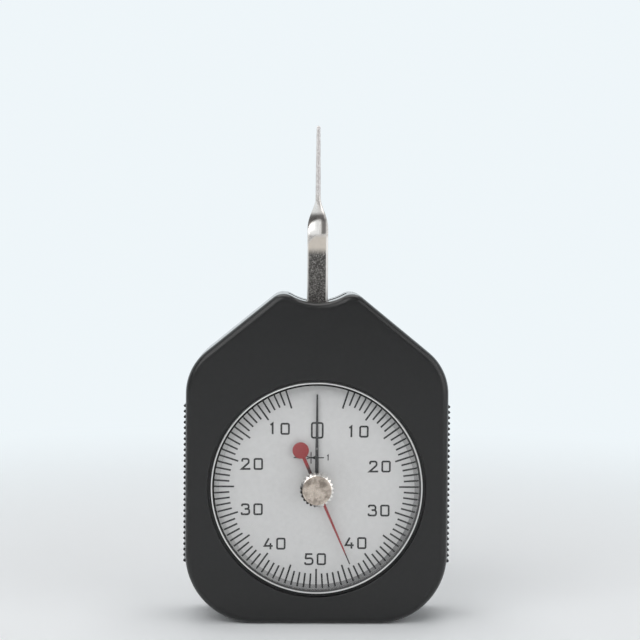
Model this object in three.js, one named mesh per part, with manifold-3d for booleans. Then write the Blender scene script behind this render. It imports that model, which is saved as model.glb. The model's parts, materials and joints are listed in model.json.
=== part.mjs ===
// A dial tension gauge: a flat two-shell case with a round dial, a twisted feeler lever that
// swings at its top, and the wheel work that turns the lever's small swing into the pointer's.
// Millimetres. X runs to the right, Y from the front to the back and Z up.
// Depths are distances behind the case's front face, and heights start at the case's bottom edge.
import * as THREE from "three";
import { mergeVertices } from "three/addons/utils/BufferGeometryUtils.js";
import Module from "manifold-3d";

const wasm = await Module();
wasm.setup();

// Clearances shared by the whole gauge
const seatGap = 0.05;
const fitGap = 0.04;
const overrun = 1.5;

// Case outline, seen from the front
const caseHalfWidth = 31;
const cornerRadius = 16.5;
const shoulderAngle = THREE.MathUtils.degToRad(39.15);
const shoulderRadius = 12.7;
const crestHalfWidth = 12.08;
const hornRadius = 3.9;
const notchRadius = 12.5;
const pivotHeadroom = 8.7;
const slotWallRise = 1.3;
const slotSideClearance = 2.3;
const slotDepthClearance = 1.5;

// Case shells
const caseDepth = 20;
const coverWall = 2;
const faceEdgeRadius = 1.7;
const partingChamfer = 0.2;
const tongueWall = 0.95;
const tongueHeight = 1.1;
const tongueClearance = 0.15;
const ribWidth = 1;
const ribHeightShare = 0.49;
const ribSpread = 10;

// Grip ridges on the sides
const ridgeCount = 29;
const ridgePitch = 1.31;
const ridgeWidth = 0.85;
const ridgeRise = 0.55;
const ridgeStart = 14.7;
const ridgeSetback = 2.4;
const ridgeCrestShare = 0.35;

// Dial window, bezel ring and crystal
const windowMargin = 5.9;
const windowSill = 7.1;
const windowStepReach = 0.8;
const windowStepDepth = 0.9;
const ringWidth = 0.44;
const ringSetback = 0.35;
const ringClearance = 0.09;
const ringFlangeReach = 1.5;
const ringFlangeThickness = 0.5;
const crystalSetback = 0.3;
const crystalThickness = 0.8;
const crystalSkirtWall = 0.6;
const crystalFlangeReach = 1.9;
const crystalFlangeThickness = 0.45;
const bossRingWall = 1.4;
const bossRingClearance = 0.2;

// Dial plate and its feet
const dialThickness = 0.5;
const dialHoleRadius = 1.6;
const dialFootRadius = 1.3;
const dialFootHeight = 0.75;
const dialFootInset = 5.5;
const dialFootCount = 3;

// Wheel work
const gearModule = 0.3125;
const pinionTeeth = 14;
const wheelTeeth = 210;
const sectorTeeth = 20;
const pressureAngle = THREE.MathUtils.degToRad(25);
const toothBacklash = 0.07;
const addendumShare = 0.9;
const dedendumShare = 1.25;
const flankSteps = 3;
const leverSwing = THREE.MathUtils.degToRad(12);

// Movement frame
const plateThickness = 1;
const frontRoomShare = 1 / 3;
const plateTongueHalfWidth = 12.5;
const plateDiscSetback = 4.1;
const plateHeadRoom = 4.4;
const plateCornerRadius = 3;
const bridgeFoot = 10.6;
const lugRadius = 2.2;
const lugAngle = THREE.MathUtils.degToRad(30);
const earHalfWidth = 3;
const pillarRadius = 1.5;
const pillarSpigotRadius = 0.9;
const pillarInset = 1.6;

// Screws
const smallShankRadius = 0.75;
const smallHeadRadius = 1.4;
const smallHeadHeight = 0.6;
const screwTipGap = 0.2;
const lugScrewReach = 2.7;
const pillarScrewReach = 3.4;
const clampScrewReach = 2.6;
const leverScrewReach = 3;
const caseShankRadius = 1;
const caseHeadRadius = 2.1;
const caseHeadHeight = 1.4;
const caseHeadClearance = 0.1;
const caseShankClearance = 0.12;
const caseBoreDepth = 2.6;
const caseScrewGrip = 4.8;
const caseBossWall = 1.2;
const caseScrewGap = 3.95;
const bossMargin = 0.6;
const slotWidthShare = 0.3;
const slotDepthShare = 0.45;
const headCrownShare = 0.8;

// Arbors and bushes
const pivotRadius = 0.6;
const pointerArborRadius = 0.75;
const pointerTipRadius = 0.35;
const leverArborRadius = 1.2;
const bushWall = 0.9;
const bushFlangeReach = 0.6;
const bushFlangeThickness = 0.35;
const arborProud = 0.1;

// Pinion, hairspring and collet
const pinionWidth = 2;
const pinionLead = 2.1;
const colletWall = 0.5;
const colletWidth = 0.9;
const colletLead = 0.85;
const hairspringTurns = 5;
const hairspringPitch = 0.64;
const hairspringStrip = 0.14;
const hairspringWidth = 0.4;
const studRadius = 0.5;

// Lever, its holder and the toothed sector
const leverHalfWidth = 2.5;
const leverThickness = 1.2;
const leverReach = 51;
const leverBevel = 0.28;
const twistStart = 24.1;
const twistLength = 9.7;
const tipWidth = 2.2;
const tipThickness = 0.9;
const tipRoundShare = 0.78;
const sectorThickness = 1;
const sectorSetback = 0.3;
const sectorHubRadius = 4.5;
const sectorRim = 2.8;
const sectorSpoke = 1.7;
const sectorCollarRadius = 2.2;
const sectorCollarFlange = 0.75;
const sectorCollarReach = 1.2;
const holderThickness = 2;
const holderHalfWidth = 3.7;
const holderRise = 5.6;
const holderTail = 9.7;
const leverScrewClearance = 0.16;
const leverHeadClearance = 0.2;
const leverEdgeMargin = 0.75;
const forkSlotDepth = 3.7;
const forkClearance = 0.1;

// Measuring spring, its clamp and the stops
const springThickness = 0.5;
const springWidth = 1.8;
const springFreeLength = 19;
const springOverlap = 1.6;
const springHeadroom = 0.3;
const clampHalfWidth = 4;
const clampHeight = 5;
const clampLip = 0.4;
const clampScrewSpread = 2.4;
const stopRadius = 0.8;
const stopClearance = 0.12;
const stopDrop = 8;

// Pointers and reset knob
const pointerEndGap = 3.2;
const pointerTail = 4.2;
const pointerThickness = 0.2;
const pointerRise = 0.55;
const pointerRootWidth = 0.84;
const pointerTipWidth = 0.28;
const pointerBossRadius = 1.25;
const pointerHubRadius = 1;
const pointerHubLength = 1.3;
const dragPinRadius = 0.22;
const dragPinOrbit = 9.2;
const dragPinClearance = 0.1;
const dragThickness = 0.25;
const dragDiscRadius = 1.94;
const dragDiscOrbit = 10.2;
const dragEndGap = 6.03;
const dragArmWidth = 0.85;
const dragTipWidth = 0.3;
const dragBossRadius = 1.35;
const dragAngle = THREE.MathUtils.degToRad(23.3);
const spindleRadius = 0.6;
const spindleEnd = 0.08;
const knobHeight = 3;
const knobLift = 0.4;
const knobFaceRadius = 3.39;
const knobRadius = 3.96;
const knobTeeth = 24;
const knurlDepth = 0.38;
const knobChamfer = 0.45;
const knobRoof = 1;
const crystalBushRadius = 1.5;
const crystalBushFlange = 0.6;
const crystalBushFlangeThickness = 0.22;
const crystalBushProud = 0.04;
const washerThickness = 0.1;
const washerGap = 0.04;

// Steps of the round forms
const bigSteps = 36;
const smallSteps = 10;
const screwSteps = 8;
const cornerSteps = 4;
const edgeSteps = 3;
const twistSteps = 10;
const bladeSteps = 4;
const hairspringSteps = 11;

// Sizes that follow the case's width
const windowRadius = caseHalfWidth - windowMargin;
const windowStepRadius = windowRadius + windowStepReach;
const dialHeight = windowRadius + windowSill;
const plateDiscRadius = windowRadius - plateDiscSetback;
const dialFootOrbit = plateDiscRadius - dialFootInset;
const pointerLength = windowRadius - pointerEndGap;
const dragReach = windowRadius - dragEndGap;

// Depths of the stacked pieces, front to back
const ringFront = ringSetback;
const ringFlangeFront = coverWall + seatGap;
const ringBack = ringFlangeFront + ringFlangeThickness;
const crystalFront = ringFront + crystalSetback;
const crystalInner = crystalFront + crystalThickness;
const crystalFlangeFront = ringBack + seatGap;
const crystalBack = crystalFlangeFront + crystalFlangeThickness;
const dialFront = crystalBack + seatGap;
const dialBack = dialFront + dialThickness;
const plateFront = dialBack + dialFootHeight + seatGap;
const plateBack = plateFront + plateThickness;
const hubFront = plateBack + seatGap + bushFlangeThickness + seatGap;
const hubDepth = sectorCollarFlange + seatGap + sectorThickness + sectorSetback;
const headDepth = seatGap + smallHeadHeight;
const holderDepth = leverThickness + seatGap + holderThickness + headDepth + leverHeadClearance;
const bridgeDepth = plateThickness + headDepth;
const rearWallFront = caseDepth - coverWall;
const spareDepth = rearWallFront - hubFront - hubDepth - holderDepth - bridgeDepth;
const leverMiddle = hubFront + frontRoomShare * spareDepth + hubDepth + leverThickness / 2;
const frontCoverDepth = leverMiddle;
const leverFront = leverMiddle - leverThickness / 2;
const leverBack = leverMiddle + leverThickness / 2;
const sectorBack = leverFront - sectorSetback;
const sectorFront = sectorBack - sectorThickness;
const holderFront = leverBack + seatGap;
const holderBack = holderFront + holderThickness;
const bridgeFront = holderBack + headDepth + leverHeadClearance;
const bridgeBack = bridgeFront + plateThickness;
const ribHeight = ribHeightShare * (rearWallFront - bridgeBack - headDepth);
const crystalBushEnd = crystalInner + crystalBushProud;
const washerFront = crystalBushEnd + washerGap;
const washerBack = washerFront + washerThickness;
const dragFront = washerBack + washerGap;
const dragBack = dragFront + dragThickness;
const pointerBack = dialFront - pointerRise;
const pointerFront = pointerBack - pointerThickness;
const knobBack = crystalFront - knobLift;
const knobFront = knobBack - knobHeight;

// Places seen from the front
const centreDistance = (gearModule * (pinionTeeth + wheelTeeth)) / 2;
const pivotHeight = dialHeight + centreDistance;
const notchFloor = pivotHeight + pivotHeadroom;
const shoulderHeight = notchFloor - (caseHalfWidth - crestHalfWidth) * Math.tan(shoulderAngle);
const wheelPitchRadius = (gearModule * wheelTeeth) / 2;
const bossRingInner = windowRadius + ringFlangeReach + bossRingClearance;
const lugOrbit = bossRingInner + bossRingWall;
const ringOuterRadius = windowRadius - ringClearance;
const ringInnerRadius = ringOuterRadius - ringWidth;
const crystalRadius = ringInnerRadius - ringClearance;
const caseBossRadius = caseHeadRadius + caseHeadClearance + caseBossWall;
const bushOuterRadius = pivotRadius + fitGap + bushWall;
const bushFlangeRadius = bushOuterRadius + bushFlangeReach;
const leverScrewOffset = bushFlangeRadius + smallHeadRadius + leverScrewClearance;
const leverTail = leverScrewOffset + smallShankRadius + leverEdgeMargin;

const plastic = new THREE.MeshStandardMaterial({ color: 0x2b2b2c, roughness: 0.55, metalness: 0 });
const nickel = new THREE.MeshStandardMaterial({ color: 0xc9c2b6, roughness: 0.25, metalness: 1 });
const brass = new THREE.MeshStandardMaterial({ color: 0xb99a56, roughness: 0.35, metalness: 1 });
const steel = new THREE.MeshStandardMaterial({ color: 0x9da0a4, roughness: 0.3, metalness: 1 });
const blueSteel = new THREE.MeshStandardMaterial({ color: 0x3c4760, roughness: 0.3, metalness: 1 });
const clear = new THREE.MeshStandardMaterial({
  color: 0xf2f4f4,
  roughness: 0.05,
  metalness: 0,
  transparent: true,
  opacity: 0.3,
});
const dialPaint = new THREE.MeshStandardMaterial({ color: 0xc3c3c3, roughness: 0.6, metalness: 0 });
const blackPaint = new THREE.MeshStandardMaterial({ color: 0x262626, roughness: 0.5, metalness: 0 });
const redPaint = new THREE.MeshStandardMaterial({ color: 0x9a4b4e, roughness: 0.5, metalness: 0 });

// The whole gauge is moved so that the middle of its depth lies at Y = 0.
const gauge = new THREE.Group();
gauge.position.y = -(knobFront + caseDepth) / 2;

function place(name, geometry, material) {
  const mesh = new THREE.Mesh(geometry, material);
  mesh.name = name;
  gauge.add(mesh);
}

// Turns a closed mesh round where its faces point inwards.
function facingOut(geometry) {
  const points = geometry.getAttribute("position");
  const order = geometry.index.array;
  const corner = (at) => new THREE.Vector3().fromBufferAttribute(points, order[at]);
  let volume = 0;
  for (let at = 0; at < order.length; at += 3) {
    volume += corner(at).dot(corner(at + 1).cross(corner(at + 2)));
  }
  if (volume < 0) {
    for (let at = 0; at < order.length; at += 3) {
      [order[at + 1], order[at + 2]] = [order[at + 2], order[at + 1]];
    }
  }
  return geometry;
}

function solidOf(geometry) {
  const bare = geometry.clone();
  bare.deleteAttribute("normal");
  bare.deleteAttribute("uv");
  const merged = mergeVertices(bare);
  const order = merged.index.array;
  const kept = [];
  for (let at = 0; at < order.length; at += 3) {
    const [a, b, c] = [order[at], order[at + 1], order[at + 2]];
    if (a !== b && b !== c && c !== a) kept.push(a, b, c);
  }
  merged.setIndex(kept);
  facingOut(merged);
  return new wasm.Manifold(
    new wasm.Mesh({
      numProp: 3,
      vertProperties: new Float32Array(merged.getAttribute("position").array),
      triVerts: new Uint32Array(merged.index.array),
    }),
  );
}

function geometryOf(solid) {
  const mesh = solid.getMesh();
  const geometry = new THREE.BufferGeometry();
  geometry.setAttribute("position", new THREE.BufferAttribute(mesh.vertProperties, 3));
  geometry.setIndex(new THREE.BufferAttribute(mesh.triVerts, 1));
  geometry.computeVertexNormals();
  return geometry;
}

function shaped(base, added, removed) {
  let solid = solidOf(base);
  for (const geometry of added) solid = solid.add(solidOf(geometry));
  for (const geometry of removed) solid = solid.subtract(solidOf(geometry));
  return geometryOf(solid);
}

// A flat shape, drawn in X and Z, with its thickness between two depths
function slab(shape, front, back) {
  const geometry = new THREE.ExtrudeGeometry(shape, {
    depth: back - front,
    bevelEnabled: false,
    curveSegments: smallSteps,
  });
  geometry.rotateX(Math.PI / 2);
  geometry.translate(0, back, 0);
  return geometry;
}

// A turned form about a line along Y: each profile point is a radius and a depth.
function turned(x, z, profile, steps = smallSteps) {
  const points = profile.map(([radius, depth]) => new THREE.Vector2(radius, depth));
  const geometry = new THREE.LatheGeometry(points, steps);
  geometry.translate(x, 0, z);
  return facingOut(geometry);
}

function rod(x, z, radius, front, back, steps = smallSteps) {
  return turned(x, z, [[0, front], [radius, front], [radius, back], [0, back]], steps);
}

function tube(x, z, inner, outer, front, back, steps = smallSteps) {
  const profile = [[inner, front], [outer, front], [outer, back], [inner, back], [inner, front]];
  return turned(x, z, profile, steps);
}

function box(x0, x1, front, back, z0, z1) {
  const geometry = new THREE.BoxGeometry(x1 - x0, back - front, z1 - z0);
  geometry.translate((x0 + x1) / 2, (front + back) / 2, (z0 + z1) / 2);
  return geometry;
}

// A closed skin through outlines of equal point counts, one above the other, capped at both ends
function loft(layers, toSpace) {
  const count = layers[0].outline.length;
  const points = layers.flatMap(({ outline, level }) => outline.map((p) => toSpace(p, level)));
  const faces = [];
  for (let layer = 0; layer + 1 < layers.length; layer += 1) {
    for (let at = 0; at < count; at += 1) {
      const low = layer * count;
      const next = (at + 1) % count;
      faces.push(low + at, low + next, low + count + next);
      faces.push(low + at, low + count + next, low + count + at);
    }
  }
  const last = (layers.length - 1) * count;
  for (const [a, b, c] of THREE.ShapeUtils.triangulateShape(layers[0].outline, [])) {
    faces.push(a, c, b);
  }
  for (const [a, b, c] of THREE.ShapeUtils.triangulateShape(layers.at(-1).outline, [])) {
    faces.push(last + a, last + b, last + c);
  }
  const geometry = new THREE.BufferGeometry().setFromPoints(points);
  geometry.setIndex(faces);
  return facingOut(geometry);
}

const alongDepth = (point, depth) => new THREE.Vector3(point.x, depth, point.y);
const alongHeight = (point, height) => new THREE.Vector3(point.x, point.y, height);

function arc(x, z, radius, from, to, steps) {
  const points = [];
  for (let step = 0; step <= steps; step += 1) {
    const angle = from + ((to - from) * step) / steps;
    points.push(new THREE.Vector2(x + radius * Math.cos(angle), z + radius * Math.sin(angle)));
  }
  return points;
}

const mirrored = (points) => points.map((p) => new THREE.Vector2(-p.x, p.y)).reverse();

// The centre of the round horn that joins the sloping shoulder to the hollow of the notch
function hornCentre() {
  const along = new THREE.Vector2(-Math.cos(shoulderAngle), Math.sin(shoulderAngle));
  const outward = new THREE.Vector2(Math.sin(shoulderAngle), Math.cos(shoulderAngle));
  const start = new THREE.Vector2(caseHalfWidth, shoulderHeight).addScaledVector(outward, -hornRadius);
  const notchCentre = new THREE.Vector2(0, notchFloor + notchRadius);
  const offset = start.clone().sub(notchCentre);
  const reach = notchRadius + hornRadius;
  const half = offset.dot(along);
  const run = -half - Math.sqrt(half ** 2 - offset.lengthSq() + reach ** 2);
  return start.addScaledVector(along, run);
}

// The case's outline, drawn in by the given inset
function caseOutline(inset) {
  const turn = Math.PI / 2 - shoulderAngle;
  const horn = hornCentre();
  const notchHeight = notchFloor + notchRadius;
  const hornEnd = Math.atan2(notchHeight - horn.y, -horn.x);
  const shoulderTop = shoulderHeight - shoulderRadius * Math.tan(turn / 2);
  const corner = arc(
    caseHalfWidth - cornerRadius, cornerRadius, cornerRadius - inset, -Math.PI / 2, 0, 2 * cornerSteps,
  );
  const shoulder = arc(
    caseHalfWidth - shoulderRadius, shoulderTop, shoulderRadius - inset, 0, turn, cornerSteps,
  );
  const hornArc = arc(horn.x, horn.y, hornRadius - inset, turn, hornEnd, cornerSteps);
  const notch = arc(
    0, notchHeight, notchRadius + inset, hornEnd - Math.PI, -Math.PI / 2, cornerSteps,
  );
  const right = [...corner, ...shoulder, ...hornArc, ...notch.slice(1)];
  return [...right, ...mirrored(right).slice(1)];
}

function caseLayers(insetsAndDepths) {
  return insetsAndDepths.map(([inset, depth]) => ({ outline: caseOutline(inset), level: depth }));
}

// The outside of one shell, from its rounded face edge to the chamfer at the parting line
function shellSkin(faceDepth, partingDepth) {
  const inward = Math.sign(partingDepth - faceDepth);
  const layers = [];
  for (let step = 0; step <= edgeSteps; step += 1) {
    const angle = ((Math.PI / 2) * step) / edgeSteps;
    const inset = faceEdgeRadius * (1 - Math.sin(angle));
    layers.push([inset, faceDepth + inward * faceEdgeRadius * (1 - Math.cos(angle))]);
  }
  layers.push([0, partingDepth - inward * partingChamfer]);
  layers.push([partingChamfer, partingDepth]);
  return loft(caseLayers(layers), alongDepth);
}

function shellBlock(inset, front, back) {
  return loft(caseLayers([[inset, front], [inset, back]]), alongDepth);
}

// One side's comb of ridges: a strip sunk into the wall with the crests standing out of it
function gripRidges(side, front, back) {
  const root = caseHalfWidth - ridgeRise / 2;
  const crest = caseHalfWidth + ridgeRise;
  const points = [[root - ridgeRise, ridgeStart]];
  for (let ridge = 0; ridge < ridgeCount; ridge += 1) {
    const low = ridgeStart + ridge * ridgePitch;
    const slope = (ridgeWidth * (1 - ridgeCrestShare)) / 2;
    points.push([root, low]);
    points.push([crest, low + slope]);
    points.push([crest, low + ridgeWidth - slope]);
    points.push([root, low + ridgeWidth]);
  }
  points.push([root - ridgeRise, ridgeStart + (ridgeCount - 1) * ridgePitch + ridgeWidth]);
  const outline = points.map(([x, z]) => new THREE.Vector2(side * x, z));
  return slab(new THREE.Shape(outline), front, back);
}

function lugPlaces() {
  const places = [];
  for (const side of [-1, 1]) {
    for (const rise of [-1, 1]) {
      const x = side * lugOrbit * Math.cos(lugAngle);
      places.push([x, dialHeight + rise * lugOrbit * Math.sin(lugAngle)]);
    }
  }
  return places;
}

function caseScrewPlaces() {
  const reach = (cornerRadius - coverWall - caseBossRadius - bossMargin) / Math.SQRT2;
  const lowX = caseHalfWidth - cornerRadius + reach;
  const lowZ = cornerRadius - reach;
  const depth = coverWall + caseBossRadius + bossMargin;
  const highX = plateTongueHalfWidth + caseScrewGap + caseBossRadius;
  const run = (caseHalfWidth - depth * Math.sin(shoulderAngle) - highX) / Math.cos(shoulderAngle);
  const highZ = shoulderHeight + run * Math.sin(shoulderAngle) - depth * Math.cos(shoulderAngle);
  return [[-lowX, lowZ], [lowX, lowZ], [-highX, highZ], [highX, highZ]];
}

// The slot in both shells that the lever leaves the case by
function leverSlot() {
  const rise = pivotHeadroom + slotWallRise;
  const half = leverHalfWidth / Math.cos(leverSwing) + rise * Math.tan(leverSwing) + slotSideClearance;
  const front = leverFront - slotDepthClearance;
  const back = leverBack + slotDepthClearance;
  return box(-half, half, front, back, notchFloor - coverWall - overrun, notchFloor + hornRadius + overrun);
}

const pilotRadius = caseShankRadius + fitGap;
const caseSeat = caseDepth - caseBoreDepth;
const caseScrewReach = caseSeat - frontCoverDepth + caseScrewGrip;

function frontCover() {
  const bossBack = frontCoverDepth - seatGap;
  const rabbetFront = frontCoverDepth - tongueHeight - tongueClearance;
  const base = shaped(
    shellSkin(0, frontCoverDepth),
    [-1, 1].map((side) => gripRidges(side, ridgeSetback, frontCoverDepth - partingChamfer)),
    [
      shellBlock(coverWall, coverWall, frontCoverDepth + overrun),
      shellBlock(coverWall - tongueWall - seatGap, rabbetFront, frontCoverDepth + overrun),
      rod(0, dialHeight, windowRadius, -overrun, coverWall + overrun, bigSteps),
      rod(0, dialHeight, windowStepRadius, -overrun, windowStepDepth, bigSteps),
      leverSlot(),
    ],
  );
  const ringStart = coverWall / 2;
  const bosses = [
    tube(0, dialHeight, bossRingInner, lugOrbit, ringStart, plateFront - seatGap, bigSteps),
    ...lugPlaces().map(([x, z]) => rod(x, z, lugRadius, ringStart, plateFront - seatGap)),
    ...caseScrewPlaces().map(([x, z]) => rod(x, z, caseBossRadius - seatGap, ringStart, bossBack)),
  ];
  const pilots = [
    ...lugPlaces().map(([x, z]) => {
      return rod(x, z, smallShankRadius + fitGap, plateFront - lugScrewReach, plateFront + overrun);
    }),
    ...caseScrewPlaces().map(([x, z]) => {
      return rod(x, z, pilotRadius, caseSeat - caseScrewReach - screwTipGap, frontCoverDepth + overrun);
    }),
    rod(0, dialHeight, bossRingInner, coverWall, plateFront, bigSteps),
  ];
  return shaped(base, bosses, pilots);
}

function rearCover() {
  const parting = frontCoverDepth + seatGap;
  const shell = shaped(
    shellSkin(caseDepth, parting),
    [-1, 1].map((side) => gripRidges(side, parting + partingChamfer, caseDepth - ridgeSetback)),
    [shellBlock(coverWall, parting - overrun, rearWallFront)],
  );
  const tongue = shaped(
    shellBlock(coverWall - tongueWall, parting - tongueHeight, parting + partingChamfer + coverWall),
    [],
    [shellBlock(coverWall, parting - tongueHeight - overrun, parting + coverWall + overrun)],
  );
  const ribTop = rearWallFront - ribHeight;
  const ribEnd = rearWallFront + coverWall / 2;
  const ribs = [-1, 1].flatMap((side) => [
    box(side * ribSpread - ribWidth / 2, side * ribSpread + ribWidth / 2, ribTop, ribEnd,
      coverWall / 2, shoulderHeight),
    box(-caseHalfWidth + coverWall / 2, caseHalfWidth - coverWall / 2, ribTop, ribEnd,
      dialHeight + side * ribSpread - ribWidth / 2, dialHeight + side * ribSpread + ribWidth / 2),
  ]);
  const bosses = caseScrewPlaces().map(([x, z]) => rod(x, z, caseBossRadius, parting + seatGap, ribEnd));
  const bores = caseScrewPlaces().flatMap(([x, z]) => [
    rod(x, z, caseShankRadius + caseShankClearance, parting - overrun, caseDepth),
    rod(x, z, caseHeadRadius + caseHeadClearance, caseSeat, caseDepth + overrun),
  ]);
  return shaped(shell, [tongue, ...ribs, ...bosses], [...bores, leverSlot()]);
}

place("front_cover", frontCover(), plastic);
place("rear_cover", rearCover(), plastic);

// A slotted screw driven from behind: its head's underside lies on the seat.
function screw(x, z, seat, reach, shankRadius, headRadius, headHeight) {
  const under = seat + seatGap;
  const top = under + headHeight;
  const profile = [
    [0, seat - reach],
    [shankRadius, seat - reach],
    [shankRadius, under],
    [headRadius, under],
    [headRadius, under + headHeight / 2],
    [headRadius * headCrownShare, top],
    [0, top],
  ];
  const half = (headRadius * slotWidthShare) / 2;
  const slot = box(
    x - headRadius - overrun, x + headRadius + overrun, top - headHeight * slotDepthShare, top + overrun,
    z - half, z + half,
  );
  return shaped(turned(x, z, profile, screwSteps), [], [slot]);
}

function smallScrew(x, z, seat, reach) {
  return screw(x, z, seat, reach, smallShankRadius, smallHeadRadius, smallHeadHeight);
}

caseScrewPlaces().forEach(([x, z], at) => {
  const made = screw(x, z, caseSeat, caseScrewReach, caseShankRadius, caseHeadRadius, caseHeadHeight);
  place(`case_screw_${at + 1}`, made, steel);
});

function bezelRing() {
  const flange = windowRadius + ringFlangeReach;
  return turned(0, dialHeight, [
    [ringInnerRadius, ringFront],
    [ringOuterRadius, ringFront],
    [ringOuterRadius, ringFlangeFront],
    [flange, ringFlangeFront],
    [flange, ringBack],
    [ringInnerRadius, ringBack],
    [ringInnerRadius, ringFront],
  ], bigSteps);
}

// The crystal is a flat clear cup: a disc, a skirt that stands on the dial and a flange to hold it by.
function crystal() {
  const inner = crystalRadius - crystalSkirtWall;
  const flange = crystalRadius + crystalFlangeReach;
  const hole = crystalBushRadius + fitGap;
  return turned(0, dialHeight, [
    [hole, crystalFront],
    [crystalRadius, crystalFront],
    [crystalRadius, crystalFlangeFront],
    [flange, crystalFlangeFront],
    [flange, crystalBack],
    [inner, crystalBack],
    [inner, crystalInner],
    [hole, crystalInner],
    [hole, crystalFront],
  ], bigSteps);
}

function crystalBush() {
  const bore = spindleRadius + fitGap;
  const flangeFront = crystalFront - seatGap - crystalBushFlangeThickness;
  return turned(0, dialHeight, [
    [bore, flangeFront],
    [crystalBushRadius + crystalBushFlange, flangeFront],
    [crystalBushRadius + crystalBushFlange, crystalFront - seatGap],
    [crystalBushRadius, crystalFront - seatGap],
    [crystalBushRadius, crystalBushEnd],
    [bore, crystalBushEnd],
    [bore, flangeFront],
  ]);
}

function dialFeet() {
  const feet = [];
  for (let foot = 0; foot < dialFootCount; foot += 1) {
    const angle = Math.PI / 2 + Math.PI / dialFootCount + (2 * Math.PI * foot) / dialFootCount;
    feet.push([dialFootOrbit * Math.cos(angle), dialHeight + dialFootOrbit * Math.sin(angle)]);
  }
  return feet;
}

function dialPlate() {
  const feet = dialFeet().flatMap(([x, z]) => [
    rod(x, z, dialFootRadius, dialFront + dialThickness / 2, dialBack + dialFootHeight),
    rod(x, z, dialFootRadius / 2, dialFront + dialThickness / 2, plateBack),
  ]);
  const rim = windowRadius + ringFlangeReach;
  return shaped(tube(0, dialHeight, dialHoleRadius, rim, dialFront, dialBack, bigSteps), feet, []);
}

place("bezel_ring", bezelRing(), nickel);
place("crystal", crystal(), clear);
place("crystal_bush", crystalBush(), brass);
place("dial_plate", dialPlate(), dialPaint);

// A straight bar with round ends, drawn in X and Z
function roundBar(x0, z0, x1, z1, half) {
  const angle = Math.atan2(z1 - z0, x1 - x0);
  const end = arc(x1, z1, half, angle - Math.PI / 2, angle + Math.PI / 2, cornerSteps);
  const start = arc(x0, z0, half, angle + Math.PI / 2, angle + (3 * Math.PI) / 2, cornerSteps);
  return new THREE.Shape([...end, ...start]);
}

function roundedPanel(x0, x1, z0, z1, radius) {
  const quarter = Math.PI / 2;
  return new THREE.Shape([
    ...arc(x1 - radius, z0 + radius, radius, -quarter, 0, cornerSteps),
    ...arc(x1 - radius, z1 - radius, radius, 0, quarter, cornerSteps),
    ...arc(x0 + radius, z1 - radius, radius, quarter, 2 * quarter, cornerSteps),
    ...arc(x0 + radius, z0 + radius, radius, 2 * quarter, 3 * quarter, cornerSteps),
  ]);
}

const plateTop = pivotHeight + plateHeadRoom;
const bridgeBottom = dialHeight - bridgeFoot;
const pillarX = plateTongueHalfWidth - pillarInset;
const pillarPlaces = [
  [-pillarX, bridgeBottom + pillarInset + pillarRadius / 2],
  [pillarX, bridgeBottom + pillarInset + pillarRadius / 2],
  [-pillarX, pivotHeight - pillarInset],
  [pillarX, pivotHeight - pillarInset],
];

function tonguePanel(bottom) {
  return roundedPanel(-plateTongueHalfWidth, plateTongueHalfWidth, bottom, plateTop, plateCornerRadius);
}

function movementPlate() {
  const ears = lugPlaces().map(([x, z]) => {
    return slab(roundBar(0, dialHeight, x, z, earHalfWidth), plateFront, plateBack);
  });
  const past = [plateFront - overrun, plateBack + overrun];
  const holes = [
    rod(0, dialHeight, bushOuterRadius + fitGap, ...past),
    rod(0, pivotHeight, bushOuterRadius + fitGap, ...past),
    rod(...hairspringStudPlace(), studRadius + fitGap, ...past),
    ...lugPlaces().map(([x, z]) => rod(x, z, smallShankRadius + fitGap, ...past)),
    ...pillarPlaces.map(([x, z]) => rod(x, z, pillarSpigotRadius + fitGap, ...past)),
    ...dialFeet().map(([x, z]) => rod(x, z, dialFootRadius / 2 + fitGap, ...past)),
  ];
  const disc = rod(0, dialHeight, plateDiscRadius, plateFront, plateBack, bigSteps);
  return shaped(slab(tonguePanel(dialHeight), plateFront, plateBack), [disc, ...ears], holes);
}

function bridgePlate() {
  const past = [bridgeFront - overrun, bridgeBack + overrun];
  const holes = [
    rod(0, dialHeight, bushOuterRadius + fitGap, ...past),
    rod(0, pivotHeight, bushOuterRadius + fitGap, ...past),
    ...pillarPlaces.map(([x, z]) => rod(x, z, smallShankRadius + fitGap, ...past)),
    ...clampScrewPlaces.map(([x, z]) => rod(x, z, smallShankRadius + fitGap, ...past)),
    ...[-1, 1].map((side) => rod(side * stopX, stopZ, stopRadius / 2 + fitGap, ...past)),
  ];
  return shaped(slab(tonguePanel(bridgeBottom), bridgeFront, bridgeBack), [], holes);
}

// The outer end of the hairspring is held by a stud at its left.
const colletRadius = pointerArborRadius + fitGap + colletWall;
const hairspringStart = colletRadius + seatGap;
const hairspringEnd = hairspringStart + hairspringTurns * hairspringPitch;

function hairspringStudPlace() {
  return [-(hairspringEnd + hairspringStrip + seatGap + studRadius), dialHeight];
}

// The lever's tail touches a stop at each end of its swing.
const stopZ = pivotHeight - stopDrop;
const stopX = (holderHalfWidth + stopRadius + stopClearance + stopDrop * Math.sin(leverSwing))
  / Math.cos(leverSwing);

// The measuring spring stands between the clamp on the bridge and the fork of the lever's holder.
const forkBottom = pivotHeight - holderTail;
const clampTop = forkBottom + springOverlap - springFreeLength;
const clampBottom = clampTop - clampHeight;
const clampScrewPlaces = [-1, 1].map((side) => [side * clampScrewSpread, (clampTop + clampBottom) / 2]);
const springFront = (holderFront + holderBack - springWidth) / 2;
const springBack = springFront + springWidth;

place("movement_plate", movementPlate(), brass);
place("bridge_plate", bridgePlate(), brass);

lugPlaces().forEach(([x, z], at) => {
  const reach = plateThickness + lugScrewReach - screwTipGap;
  place(`movement_screw_${at + 1}`, smallScrew(x, z, plateBack, reach), steel);
});

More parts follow.
